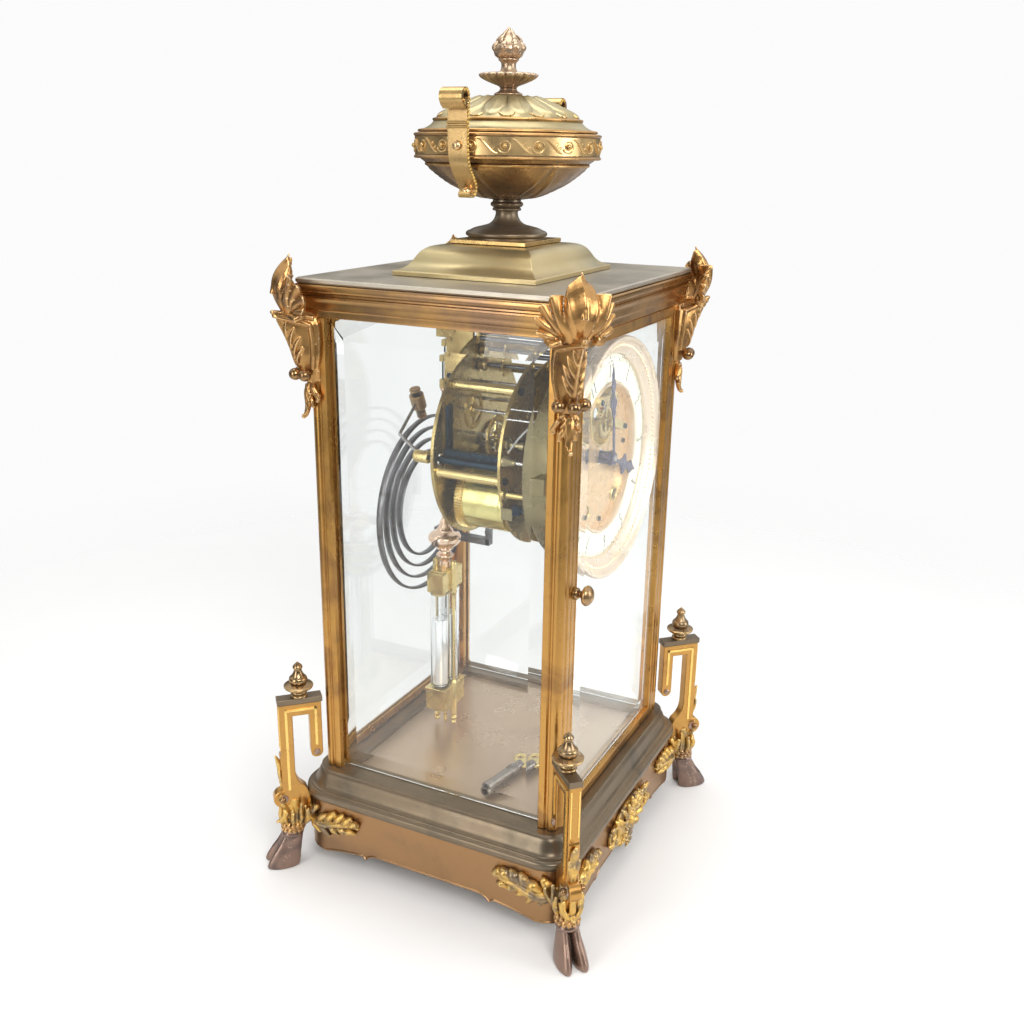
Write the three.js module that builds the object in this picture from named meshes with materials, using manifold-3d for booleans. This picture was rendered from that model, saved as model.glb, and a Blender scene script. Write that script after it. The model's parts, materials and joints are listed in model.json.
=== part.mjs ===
// Four-glass mantel clock: a glazed brass case on hoofed bracket feet, an urn on a domed top, and an
// eight-day striking movement with a twin-vial pendulum and a coiled gong.
// Millimetres, +Z up. Origin: on the ground under the middle of the case. The dial faces -Y.
import * as THREE from 'three';
import { mergeVertices } from 'three/addons/utils/BufferGeometryUtils.js';
import Module from 'manifold-3d';

const wasm = await Module();
wasm.setup();

// ---------------------------------------------------------------- driving dimensions
const HALF_W = 74.3; // outer faces of the corner posts, X
const HALF_D = 68.8; // outer faces of the corner posts, Y
const GAP = 0.3; // clearance between neighbouring pieces
const POST = 10; // corner post, square
const PLINTH = { z0: 9.4, middle: 15, z1: 41, offset: 10.5, wall: 7 };
const MOULD = { z0: PLINTH.z1 + GAP, z1: 57, offset: 4.5, inner: -12 };
const FLOOR = { z0: 50.2, z1: 54.2 };
const FRAME = { z0: MOULD.z1 + GAP, z1: 300 }; // posts
const CORNICE = { z0: FRAME.z1 + GAP, z1: 315.7 };
const TOP_PLATE = { z0: CORNICE.z1 + GAP, z1: 318.6, offset: 3.8 };
const DOME = { z0: TOP_PLATE.z1 + GAP, z1: 332.8 };
const TOTAL_HEIGHT = 432;

const DOOR = { outer: 63.7, z0: 57.6, z1: 299.7, thick: 4.5, stile: 5, rail: 5.4 };
const DOOR_PIN = { inset: 1.0, r: 0.9, hole: 1.2, length: 2.6 };
const GLASS = { thick: 3.2, edge: 1.3, bevel: 10.5 };
const KNOB = { x: -61.2, z: 180, shaft: 1.4, tongue: 5.4 };

const AXIS_Z = 229.8; // height of the dial centre
const DIAL = { outer: 61.2, ring: 51, opening: 38.8, front: 63.8 };
const PLATE = { r: 49, front: [-23.6, -21.8], back: [13.6, 15.4] };
const BARREL = { x: 18.7, dz: -24.5, rim: 17.2, drum: 15.8, teeth: 70 };
const PENDULUM = { y: 35.5, pivot: 275, bottom: 55 };
const GONG = { y: 44.6, width: 4, strip: 1.5, z: 188.6, r0: 26.7, pitch: 6.4, turns: 3.9, start: -51 };
const HAMMER = { x: -42, z: 229.5 };

const clock = new THREE.Group();

// ---------------------------------------------------------------- finishes
const finish = (color, roughness, metalness) => ({ color, roughness, metalness });
const GILT = finish(0xb9812f, 0.32, 1.0);
const BRONZE = finish(0x6d5c3a, 0.45, 1.0);
const BRASS = finish(0xc2a24a, 0.25, 1.0);
const OLIVE = finish(0x8d7c4c, 0.38, 1.0);
const STEEL = finish(0x55585a, 0.4, 1.0);
const BLUED = finish(0x1c2f4a, 0.3, 1.0);
const GLAZING = finish(0xdfeee6, 0.05, 0.0);
const ENAMEL = finish(0xeeead2, 0.35, 0.0);

// ---------------------------------------------------------------- solids
function signedVolume(positions, triangles) {
  const a = new THREE.Vector3();
  const b = new THREE.Vector3();
  const c = new THREE.Vector3();
  let volume = 0;
  for (let i = 0; i < triangles.length; i += 3) {
    a.fromArray(positions, triangles[i] * 3);
    b.fromArray(positions, triangles[i + 1] * 3);
    c.fromArray(positions, triangles[i + 2] * 3);
    volume += a.dot(b.cross(c)) / 6;
  }
  return volume;
}

// A closed geometry as a solid with shared vertices and outward faces.
function solid(geometry) {
  const bare = geometry.clone();
  bare.deleteAttribute('normal');
  bare.deleteAttribute('uv');
  const merged = mergeVertices(bare, 1e-4);
  const index = merged.index.array;
  const kept = [];
  for (let i = 0; i < index.length; i += 3) {
    const [a, b, c] = [index[i], index[i + 1], index[i + 2]];
    if (a !== b && b !== c && c !== a) kept.push(a, b, c);
  }
  const vertProperties = Float32Array.from(merged.attributes.position.array);
  if (signedVolume(vertProperties, kept) < 0) {
    for (let i = 0; i < kept.length; i += 3) [kept[i], kept[i + 1]] = [kept[i + 1], kept[i]];
  }
  const triVerts = Uint32Array.from(kept);
  return new wasm.Manifold(new wasm.Mesh({ numProp: 3, vertProperties, triVerts }));
}

const join = (...geometries) => geometries.map(solid).reduce((sum, next) => sum.add(next));
const cut = (body, ...tools) => tools.map(solid).reduce((rest, tool) => rest.subtract(tool), body);

function addPiece(name, body, look, position = [0, 0, 0]) {
  const { vertProperties, triVerts } = body.getMesh();
  const geometry = new THREE.BufferGeometry();
  geometry.setAttribute('position', new THREE.BufferAttribute(Float32Array.from(vertProperties), 3));
  geometry.setIndex(Array.from(triVerts));
  geometry.computeVertexNormals();
  const mesh = new THREE.Mesh(geometry, new THREE.MeshStandardMaterial(look));
  mesh.name = name;
  mesh.position.set(...position);
  clock.add(mesh);
  return mesh;
}

const box = (w, d, h, x = 0, y = 0, z = 0) => new THREE.BoxGeometry(w, d, h).translate(x, y, z);
// A box from its low corner to its high corner.
const block = (low, high) => {
  const size = low.map((value, i) => high[i] - value);
  const centre = low.map((value, i) => (high[i] + value) / 2);
  return new THREE.BoxGeometry(...size).translate(...centre);
};

const vectors = (pairs) => pairs.map(([a, b]) => new THREE.Vector2(a, b));
// A turned piece about +Z, from [radius, height] pairs.
const turned = (pairs, segments = 24) => new THREE.LatheGeometry(vectors(pairs), segments).rotateX(Math.PI / 2);
// A turned piece about the Y axis, from [radius, y] pairs.
const turnedY = (pairs, segments = 24) => new THREE.LatheGeometry(vectors(pairs), segments);
const rodY = (r, y0, y1, x = 0, z = 0, segments = 12) => turnedY([[0, y0], [r, y0], [r, y1], [0, y1]], segments)
  .translate(x, 0, z);
const rodZ = (r, z0, z1, x = 0, y = 0, segments = 12) => turned([[0, z0], [r, z0], [r, z1], [0, z1]], segments)
  .translate(x, y, 0);
// A straight round bar between two points.
function bar(r, from, to, segments = 8) {
  const a = new THREE.Vector3(...from);
  const b = new THREE.Vector3(...to);
  const turn = new THREE.Quaternion().setFromUnitVectors(new THREE.Vector3(0, 1, 0), b.clone().sub(a).normalize());
  const middle = a.clone().add(b).multiplyScalar(0.5);
  return new THREE.CylinderGeometry(r, r, a.distanceTo(b), segments).applyQuaternion(turn).translate(...middle);
}

// A flat plate in the XZ plane, drawn as (x, z) and occupying y0 to y1.
function plateY(shape, y0, y1, curveSegments = 12) {
  const geometry = new THREE.ExtrudeGeometry(shape, { depth: y1 - y0, bevelEnabled: false, curveSegments });
  return geometry.rotateX(Math.PI / 2).translate(0, y1, 0);
}
// A flat plate in the XY plane, occupying z0 to z1.
function plateZ(shape, z0, z1, curveSegments = 8) {
  return new THREE.ExtrudeGeometry(shape, { depth: z1 - z0, bevelEnabled: false, curveSegments }).translate(0, 0, z0);
}
const outline = (pairs) => new THREE.Shape(vectors(pairs));
// Points round a circle, anticlockwise, with more of them on a larger circle.
function circlePoints(x, y, r, count = Math.min(40, Math.round(6 + r * 1.4))) {
  return Array.from({ length: count }, (_, i) => {
    const angle = (2 * Math.PI * i) / count;
    return new THREE.Vector2(x + r * Math.cos(angle), y + r * Math.sin(angle));
  });
}
function disc(r, holes = [], count = undefined) {
  const shape = new THREE.Shape(circlePoints(0, 0, r, count));
  holes.forEach(([x, z, radius]) => shape.holes.push(new THREE.Path(circlePoints(x, z, radius))));
  return shape;
}

// Points round a rectangle with rounded corners.
function roundedRing(halfX, halfY, radius, z, steps = 5) {
  const points = [];
  [[1, 1, 0], [-1, 1, 1], [-1, -1, 2], [1, -1, 3]].forEach(([sx, sy, quarter]) => {
    for (let i = 0; i <= steps; i += 1) {
      const angle = ((quarter + i / steps) * Math.PI) / 2;
      points.push(new THREE.Vector3(
        sx * (halfX - radius) + radius * Math.cos(angle),
        sy * (halfY - radius) + radius * Math.sin(angle),
        z,
      ));
    }
  });
  return points;
}

// A skin through rings of equal length. Closed rings of rings make a frame; otherwise the ends are capped.
function loft(rings, closed = false) {
  const count = rings[0].length;
  const positions = rings.flat().flatMap((p) => [p.x, p.y, p.z]);
  const index = [];
  const bands = closed ? rings.length : rings.length - 1;
  for (let r = 0; r < bands; r += 1) {
    const next = (r + 1) % rings.length;
    for (let i = 0; i < count; i += 1) {
      const j = (i + 1) % count;
      const [a, b, c, d] = [r * count + i, r * count + j, next * count + j, next * count + i];
      index.push(a, b, c, a, c, d);
    }
  }
  if (!closed) {
    const last = (rings.length - 1) * count;
    for (let i = 1; i < count - 1; i += 1) {
      index.push(0, i + 1, i);
      index.push(last, last + i, last + i + 1);
    }
  }
  const geometry = new THREE.BufferGeometry();
  geometry.setAttribute('position', new THREE.BufferAttribute(Float32Array.from(positions), 3));
  geometry.setIndex(index);
  return geometry;
}

// A moulding that runs round the case: [offset outside the posts, height] pairs, closed on itself.
function frameMoulding(pairs, sharpness, steps = 5) {
  const rings = pairs.map(([offset, z]) => roundedRing(
    HALF_W + offset,
    HALF_D + offset,
    Math.max(offset + sharpness, 0.5),
    z,
    steps,
  ));
  return loft(rings, true);
}

// Bevelled glass, w wide and h tall, lying in XZ with its bevelled face towards -Y.
function bevelledPane(w, h) {
  const flat = (inset, y) => [[-1, -1], [1, -1], [1, 1], [-1, 1]].map(([sx, sz]) => new THREE.Vector3(
    sx * (w / 2 - inset),
    y,
    sz * (h / 2 - inset),
  ));
  const back = GLASS.thick / 2;
  return loft([flat(0, back), flat(0, back - GLASS.edge), flat(GLASS.bevel, -back)]);
}

const CORNERS = [
  ['front_left', -1, -1],
  ['front_right', 1, -1],
  ['back_left', -1, 1],
  ['back_right', 1, 1],
];
// A piece drawn for the corner where both axes point outwards, turned over to any corner.
const forCorner = (geometry, sx, sy) => geometry.clone().scale(sx, sy, 1);
// A profile in the vertical plane of the corner's diagonal: (distance outwards, height), w thick.
function diagonalPlate(shape, w, curveSegments = 6) {
  const geometry = new THREE.ExtrudeGeometry(shape, { depth: w, bevelEnabled: false, curveSegments });
  return geometry.translate(0, 0, -w / 2).rotateX(Math.PI / 2).rotateZ(Math.PI / 4);
}

// ---------------------------------------------------------------- base
const CORNER_ROUND = 6; // the rounding of the base where it meets the line of the posts

function apronCut(half, length, alongX) {
  const foot = half - 17;
  const cusp = half - 40;
  const shape = new THREE.Shape();
  shape.moveTo(-foot, 0);
  shape.lineTo(-foot, PLINTH.z0 + 0.2);
  shape.quadraticCurveTo(-foot + 8, 12.6, -cusp, 13.2);
  shape.lineTo(-cusp + 1.6, 11.6);
  shape.quadraticCurveTo(-cusp + 3, PLINTH.middle, -cusp + 9, PLINTH.middle);
  shape.lineTo(cusp - 9, PLINTH.middle);
  shape.quadraticCurveTo(cusp - 3, PLINTH.middle, cusp - 1.6, 11.6);
  shape.lineTo(cusp, 13.2);
  shape.quadraticCurveTo(foot - 8, 12.6, foot, PLINTH.z0 + 0.2);
  shape.lineTo(foot, 0);
  const geometry = plateY(shape, -length, length, 3);
  return alongX ? geometry : geometry.rotateZ(Math.PI / 2);
}

function basePlinth() {
  const { z0, z1, offset, wall } = PLINTH;
  const ring = frameMoulding([[offset, z0], [offset, z1], [offset - wall, z1], [offset - wall, z0]], CORNER_ROUND);
  return cut(
    solid(ring),
    apronCut(HALF_W + offset, HALF_D + 20, true),
    apronCut(HALF_D + offset, HALF_W + 20, false),
  );
}

const hingePins = [[DOOR.outer - DOOR_PIN.inset, -1], [-(DOOR.outer - DOOR_PIN.inset), 1]].map(
  ([x, side]) => ({ x, y: side * (HALF_D - DOOR_PIN.inset) }),
);
const pinHoles = (z0, z1) => hingePins.map(({ x, y }) => rodZ(DOOR_PIN.hole, z0, z1, x, y));

function baseMoulding() {
  const { z0, z1, offset, inner } = MOULD;
  const profile = [
    [inner - 4, z0], [11.5, z0], [12.7, 42.8], [12.5, 45.4], [10.6, 46.6],
    [8.4, 48.2], [6.9, 50.8], [5.6, 53.9], [offset, 55.6], [offset, z1],
    [inner, z1], [inner, FLOOR.z0 - GAP], [inner - 4, FLOOR.z0 - GAP],
  ];
  return cut(solid(frameMoulding(profile, CORNER_ROUND, 4)), ...pinHoles(z1 - 3.4, z1 + 1));
}

addPiece('base_plinth', basePlinth(), GILT);
addPiece('base_moulding', baseMoulding(), BRONZE);
addPiece('floor_plate', solid(block(
  [-HALF_W - MOULD.inner + GAP, -HALF_D - MOULD.inner + GAP, FLOOR.z0],
  [HALF_W + MOULD.inner - GAP, HALF_D + MOULD.inner - GAP, FLOOR.z1],
)), OLIVE);

function apronMount() {
  const shape = new THREE.Shape();
  shape.moveTo(0, 7.6);
  shape.quadraticCurveTo(7, 9, 8, 16);
  shape.quadraticCurveTo(16, 12.5, 20, 18);
  shape.quadraticCurveTo(28, 17, 31, 25);
  shape.quadraticCurveTo(30, 32, 22, 33);
  shape.quadraticCurveTo(14, 40, 0, 39.5);
  shape.quadraticCurveTo(-14, 40, -22, 33);
  shape.quadraticCurveTo(-30, 32, -31, 25);
  shape.quadraticCurveTo(-28, 17, -20, 18);
  shape.quadraticCurveTo(-16, 12.5, -8, 16);
  shape.quadraticCurveTo(-7, 9, 0, 7.6);
  const back = -(HALF_D + PLINTH.offset + GAP);
  return solid(plateY(shape, back - 5, back, 3));
}
addPiece('apron_mount_front', apronMount(), GILT);

// ---------------------------------------------------------------- bracket feet
function bracketProfile() {
  const shape = new THREE.Shape();
  shape.moveTo(8, 67);
  shape.absarc(4.8, 67, 3.2, 0, Math.PI, true);
  shape.lineTo(1.6, 97);
  shape.lineTo(1.1, 97);
  shape.lineTo(1.1, 100);
  shape.lineTo(24.4, 100);
  shape.lineTo(24.4, 97);
  shape.lineTo(24, 97);
  shape.lineTo(24, 66.5);
  shape.lineTo(26.9, 67);
  shape.quadraticCurveTo(25.6, 60, 24.5, 45.7);
  shape.absarc(24.5, 40.5, 5.2, Math.PI / 2, -Math.PI / 2, true);
  shape.lineTo(24.2, 30);
  shape.lineTo(28.6, 25.6);
  shape.lineTo(23.6, 21);
  shape.lineTo(22, 14);
  shape.lineTo(15.5, 14);
  shape.quadraticCurveTo(14.5, 20, 8.5, 24);
  shape.lineTo(8.5, 40.9);
  shape.lineTo(10.9, 40.9);
  shape.lineTo(10.9, 46);
  shape.quadraticCurveTo(15.5, 50, 17, 56);
  shape.lineTo(17, 90);
  shape.lineTo(8, 90);
  return shape;
}

function hoof() {
  // [height, middle of the section along the diagonal, half length, half width]
  const sections = [
    [0, 27.4, 9.4, 8.2], [3, 27.2, 9.2, 8.4], [8, 24.6, 8, 7.4], [14, 20.6, 5.4, 5.4],
    [19, 19.4, 5.2, 5], [26, 19.6, 6.4, 5.6], [34, 18.6, 6.6, 4.6],
  ];
  const rings = sections.map(([z, middle, halfLength, halfWidth]) => {
    const ring = [];
    for (let i = 0; i < 10; i += 1) {
      const angle = (i * Math.PI) / 5;
      ring.push(new THREE.Vector3(middle + halfLength * Math.cos(angle), halfWidth * Math.sin(angle), z));
    }
    return ring;
  });
  return loft(rings).rotateZ(Math.PI / 4);
}

// A leaf wing that wraps the rounded corner of the plinth, in the corner's own frame.
function wing() {
  const inside = PLINTH.offset + GAP;
  const reach = -33;
  const plan = new THREE.Shape();
  plan.moveTo(inside, reach);
  plan.lineTo(inside + 2.6, reach + 3);
  plan.absarc(-CORNER_ROUND, -CORNER_ROUND, inside + 2.6 + CORNER_ROUND, 0, Math.PI / 2, false);
  plan.lineTo(reach + 3, inside + 2.6);
  plan.lineTo(reach, inside);
  plan.absarc(-CORNER_ROUND, -CORNER_ROUND, inside + CORNER_ROUND, Math.PI / 2, 0, true);
  return plateZ(plan, 19, 36, 3);
}

const footBody = join(diagonalPlate(bracketProfile(), 6), hoof(), wing());
const footFinial = turned([
  [0, 0], [4.2, 0], [4.6, 1.2], [3.6, 2.3], [4.4, 3.3], [3.8, 4.4], [7.6, 5.9], [7.5, 6.9], [4, 8.1],
  [4.8, 10.4], [4.5, 11.8], [2.4, 14], [2.1, 15.9], [2.8, 17.2], [0, 20.2],
], 10);
const FINIAL_OUT = 12.7 * Math.SQRT1_2;

function mirrored(body, sx, sy) {
  const { vertProperties, triVerts } = body.getMesh();
  const geometry = new THREE.BufferGeometry();
  geometry.setAttribute('position', new THREE.BufferAttribute(Float32Array.from(vertProperties), 3));
  geometry.setIndex(Array.from(triVerts));
  return solid(forCorner(geometry, sx, sy));
}

CORNERS.forEach(([side, sx, sy]) => {
  const corner = [sx * HALF_W, sy * HALF_D, 0];
  addPiece(`foot_${side}`, mirrored(footBody, sx, sy), GILT, corner);
  const finialAt = [corner[0] + sx * FINIAL_OUT, corner[1] + sy * FINIAL_OUT, 100 + GAP];
  addPiece(`foot_finial_${side}`, solid(footFinial), BRONZE, finialAt);
});

// ---------------------------------------------------------------- posts, cornice and top
const SLOT = { near: 3, far: 7, depth: 2.5 }; // the groove that holds a side pane

function postSection() {
  // Drawn from the post's inner corner, both axes pointing outwards.
  const shape = new THREE.Shape();
  shape.moveTo(0, 0);
  shape.lineTo(SLOT.near, 0);
  shape.lineTo(SLOT.near, SLOT.depth);
  shape.lineTo(SLOT.far, SLOT.depth);
  shape.lineTo(SLOT.far, 0);
  shape.lineTo(POST, 0);
  shape.lineTo(POST, 3.6);
  shape.lineTo(POST - 1, 4.2);
  shape.lineTo(POST - 1, 5);
  shape.absarc(POST - 3.4, POST - 3.4, 3.4, -0.3, Math.PI / 2 + 0.3, false);
  shape.lineTo(5, POST - 1);
  shape.lineTo(4.2, POST - 1);
  shape.lineTo(3.6, POST);
  shape.lineTo(0, POST);
  return shape;
}
const post = plateZ(postSection(), FRAME.z0, FRAME.z1, 6).translate(-POST, -POST, 0);

CORNERS.forEach(([side, sx, sy]) => {
  addPiece(`corner_post_${side}`, solid(forCorner(post, sx, sy)), GILT, [sx * HALF_W, sy * HALF_D, 0]);
});

function cornice() {
  const { z0, z1 } = CORNICE;
  const profile = [
    [-12, z0], [1, z0], [1, 303.6], [2, 304.4], [2.4, 307.6], [3.2, 309.2], [3.2, 310.4], [2.4, 310.8],
    [2.4, 311.6], [4.2, 312.2], [4.8, 313.2], [4.8, 314.8], [4.2, z1], [-12, z1],
  ];
  return cut(solid(frameMoulding(profile, -1.5, 2)), ...pinHoles(z0 - 1, z0 + 3.4));
}
addPiece('cornice', cornice(), GILT);

addPiece('top_plate', solid(loft([
  roundedRing(HALF_W + 3.2, HALF_D + 3.2, 2, TOP_PLATE.z0, 2),
  roundedRing(HALF_W + TOP_PLATE.offset, HALF_D + TOP_PLATE.offset, 2, TOP_PLATE.z0 + 0.8, 2),
  roundedRing(HALF_W + TOP_PLATE.offset, HALF_D + TOP_PLATE.offset, 2, TOP_PLATE.z1 - 0.6, 2),
  roundedRing(HALF_W + 3.2, HALF_D + 3.2, 2, TOP_PLATE.z1, 2),
])), OLIVE);

function domeBase() {
  // [half width along X, height]: a lip, a hollow curve, then a round shoulder.
  const rise = [
    [46, DOME.z0], [46, 320.8], [44.6, 321.4], [40.6, 322.6], [37.6, 324.8], [35.6, 327.6],
    [33.2, 330], [29.6, 331.8], [25, 332.6], [21.4, DOME.z1],
  ];
  const slimness = 7.6; // how much narrower the bottom is along Y than along X
  return solid(loft(rise.map(([half, z]) => {
    const narrower = (slimness * (half - 20)) / 26;
    return roundedRing(half, half - narrower, 0.8, z, 1);
  })));
}
addPiece('dome_base', domeBase(), OLIVE);

// ---------------------------------------------------------------- corner leaves under the cornice
function leafProfile() {
  const shape = new THREE.Shape();
  shape.moveTo(-6, 256);
  shape.quadraticCurveTo(1, 248, 3.4, 250.8);
  shape.quadraticCurveTo(5.4, 258, 4.6, 265);
  shape.quadraticCurveTo(10.4, 267, 9.9, 273.6);
  shape.quadraticCurveTo(9, 277, 5.8, 279.2);
  shape.quadraticCurveTo(6, 291, 10, 298.4);
  shape.lineTo(15, 300);
  shape.quadraticCurveTo(17.4, 305, 15.8, 311);
  shape.quadraticCurveTo(12, 319, 9.4, 328);
  shape.quadraticCurveTo(6.4, 333, 3, 329.6);
  shape.quadraticCurveTo(5, 324, 2, TOP_PLATE.z1 + GAP + 0.2);
  shape.lineTo(-6, TOP_PLATE.z1 + GAP + 0.2);
  return shape;
}

// A fan that lies against one face of the cornice.
function fan() {
  const shape = new THREE.Shape();
  shape.moveTo(8, 300.6);
  shape.lineTo(-3, 300.6);
  shape.quadraticCurveTo(-9, 306, -13.5, 314);
  shape.quadraticCurveTo(-12.5, 318.6, -8, 317.6);
  shape.quadraticCurveTo(-5, 322, 0, 321);
  shape.lineTo(8, 324);
  return plateY(shape, 5.1, 8.6, 3);
}

const around = (offset, z0, z1) => block([-60, -60, z0], [offset, offset, z1]);
const leafBody = join(
  diagonalPlate(leafProfile(), 12, 4),
  fan(),
  fan().scale(-1, 1, 1).rotateZ(-Math.PI / 2),
).subtract(solid(around(5.1, FRAME.z1 - GAP, TOP_PLATE.z1 + GAP))).subtract(solid(around(GAP, 240, FRAME.z1)));

CORNERS.forEach(([side, sx, sy]) => {
  addPiece(`corner_leaf_${side}`, mirrored(leafBody, sx, sy), GILT, [sx * HALF_W, sy * HALF_D, 0]);
});

// ---------------------------------------------------------------- urn
const pedestalPlate = block([-20.9, -20.5, 333.1], [20.9, 20.5, 335.2]);
const pedestalStem = turned([
  [0, 334], [18.9, 334], [18.9, 335.6], [20.4, 337.1], [20, 338.4], [16.6, 340.5], [9.6, 341.6], [6.4, 343.6],
  [5.4, 346.3], [6.2, 348.7], [7.9, 350.4], [7.9, 352.9], [6.8, 353.6], [0, 353.6],
], 18);
addPiece('urn_pedestal', join(pedestalPlate, pedestalStem), BRONZE);

addPiece('urn_bowl', solid(turned([
  [0, 353.9], [9, 353.9], [13.6, 354.6], [22.6, 358.2], [33.1, 364.7], [41.5, 371.7], [45.1, 373.1],
  [45.1, 383.7], [43.6, 384.4], [41.6, 384.4], [41.6, 376.4], [31.6, 367.6], [12, 357.4], [0, 357],
], 22)), BRONZE);
addPiece('urn_lid', solid(turned([
  [41.2, 384.7], [43.2, 384.7], [42.6, 385.8], [38.9, 386.9], [34.5, 391.5], [27, 395.1], [13.2, 400.9],
  [0, 401.6], [0, 399.4], [12.4, 398.8], [32.8, 389.9], [37.4, 385.4], [41.2, 384.7],
], 22)), OLIVE);
addPiece('urn_finial', solid(turned([
  [0, 401.9], [6.4, 401.9], [5.2, 403.2], [3.8, 405], [5.6, 407.4], [13.4, 409.6], [14.1, 410.8], [12.6, 412.2],
  [4.8, 413], [3.3, 415.2], [4.6, 417.6], [8.2, 420.6], [8.5, 422.4], [6.6, 426], [2.8, 429.4],
  [0, TOTAL_HEIGHT],
], 14)), OLIVE);

// A bent strap: a centre line in the XZ plane, given a thickness and a width along Y.
function strap(points, thickness, width, count) {
  const curve = new THREE.CatmullRomCurve3(points.map(([x, z]) => new THREE.Vector3(x, 0, z)));
  const left = [];
  const right = [];
  for (let i = 0; i <= count; i += 1) {
    const p = curve.getPointAt(i / count);
    const t = curve.getTangentAt(i / count);
    left.push([p.x - (t.z * thickness) / 2, p.z + (t.x * thickness) / 2]);
    right.unshift([p.x + (t.z * thickness) / 2, p.z - (t.x * thickness) / 2]);
  }
  return plateY(outline([...left, ...right]), -width / 2, width / 2);
}
const handle = join(strap([
  [56.4, 394.4], [57.6, 399], [54, 402.6], [50, 401.4], [48.6, 396], [49.2, 388], [48.9, 380], [48.2, 372.4],
  [45, 367.4], [40.6, 362.4], [39.6, 358.4], [42.2, 356.4],
], 2.6, 12, 26), turnedY([[0, -2.4], [2.4, -2.4], [2.4, 2.4], [0, 2.4]], 8).rotateZ(Math.PI / 2)
  .translate(50.6, 0, 378.4));
[['left', -1], ['right', 1]].forEach(([side, sx]) => {
  addPiece(`urn_handle_${side}`, mirrored(handle, sx, 1), GILT);
});

// ---------------------------------------------------------------- glazing and doors
const paneHeight = FRAME.z1 - FRAME.z0 - 0.6;
const sidePane = bevelledPane(2 * (HALF_D - POST + SLOT.depth - 0.4), paneHeight);
[['left', -1], ['right', 1]].forEach(([side, sx]) => {
  const turn = sidePane.clone().rotateZ((sx * Math.PI) / 2);
  const at = [sx * (HALF_W - POST / 2), 0, (FRAME.z0 + FRAME.z1) / 2];
  addPiece(`glass_${side}`, solid(turn), GLAZING, at);
});

// A door in its own frame: hinge side at +X, outer face towards -Y, drawn about the clock's axis.
function doorFrame(knobHole) {
  const { outer, z0, z1, thick, stile, rail } = DOOR;
  const sash = new THREE.Shape();
  sash.moveTo(-outer, z0);
  sash.lineTo(outer, z0);
  sash.lineTo(outer, z1);
  sash.lineTo(-outer, z1);
  sash.lineTo(-outer, z0);
  const opening = new THREE.Path();
  opening.moveTo(-outer + stile, z0 + rail);
  opening.lineTo(-outer + stile, z1 - rail);
  opening.lineTo(outer - stile, z1 - rail);
  opening.lineTo(outer - stile, z0 + rail);
  sash.holes.push(opening);
  const { x, y } = hingePins[0];
  const pins = [rodZ(DOOR_PIN.r, z0 - DOOR_PIN.length, z0 + 4, x, y), rodZ(DOOR_PIN.r, z1 - 4, z1 + DOOR_PIN.length, x, y)];
  const body = join(plateY(sash, -HALF_D, -HALF_D + thick), ...pins);
  return knobHole ? cut(body, rodY(KNOB.shaft + 0.4, -HALF_D - 1, -HALF_D + thick + 1, KNOB.x, KNOB.z)) : body;
}
const doorPane = bevelledPane(
  2 * (DOOR.outer - DOOR.stile - GAP),
  DOOR.z1 - DOOR.z0 - 2 * (DOOR.rail + GAP),
);
const paneAt = [0, -HALF_D + DOOR.thick / 2, (DOOR.z0 + DOOR.z1) / 2];
addPiece('front_door_frame', doorFrame(true), GILT);
addPiece('front_door_glass', solid(doorPane), GLAZING, paneAt);

function knobHead(x, z) {
  return turnedY([
    [0, -78.6], [2.6, -78.2], [4.6, -76.6], [4.9, -75.2], [4, -73.8], [1.9, -72.8], [1.7, -71.2], [2.9, -70.4],
    [3, -69.1], [0, -69.1],
  ], 12).translate(x, 0, z);
}
// The turning catch passes behind the post's inner face.
const postBack = -HALF_D + POST;
const knobSpindle = rodY(KNOB.shaft, -70, postBack + 1.9, KNOB.x, KNOB.z);
const knobTongue = block(
  [KNOB.x - 1.3, postBack + GAP, KNOB.z - 1.3],
  [KNOB.x + 1.3, postBack + 1.6, KNOB.z + KNOB.tongue],
);
addPiece('front_door_knob', join(knobHead(KNOB.x, KNOB.z), knobSpindle, knobTongue), OLIVE);

const backKnob = join(knobHead(KNOB.x, KNOB.z), rodY(KNOB.shaft, -70, -HALF_D + 1, KNOB.x, KNOB.z));
const halfTurn = (body) => mirrored(body, -1, -1);
addPiece('back_door_frame', halfTurn(doorFrame(false).add(backKnob)), GILT);
addPiece('back_door_glass', halfTurn(solid(doorPane)), GLAZING, [0, -paneAt[1], paneAt[2]]);

// ---------------------------------------------------------------- dial
// Turned about Y through the dial centre; radii with y measured from the middle of the case.
function bezel() {
  const ring = turnedY([
    [45.5, -40], [45.5, -38.5], [56, -38.5], [56, -54], [60.6, -59.6], [DIAL.outer, -61.4],
    [DIAL.outer, -63.2], [60, -DIAL.front], [58.6, -DIAL.front], [DIAL.ring + GAP, -58.4],
    [DIAL.ring + GAP, -55], [54.4, -53], [54.4, -40], [45.5, -40],
  ], 30);
  const reach = HALF_W - POST - GAP;
  const lugs = [[-reach, -55.4], [55.4, reach]].map(([x0, x1]) => block([x0, -53, -4], [x1, -46, 4]));
  return join(ring, ...lugs);
}
addPiece('bezel', bezel(), GILT, [0, 0, AXIS_Z]);

addPiece('chapter_ring', solid(plateY(disc(DIAL.ring, [[0, 0, DIAL.opening]]), -57.5, -56.5)),
  ENAMEL, [0, 0, AXIS_Z]);

// Layout of the arbors, as [x, height above the dial centre].
const ARBOR = {
  goingBarrel: [BARREL.x, BARREL.dz],
  strikeBarrel: [-BARREL.x, BARREL.dz],
  escape: [0, 19],
  pallets: [0, 32],
};
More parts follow.
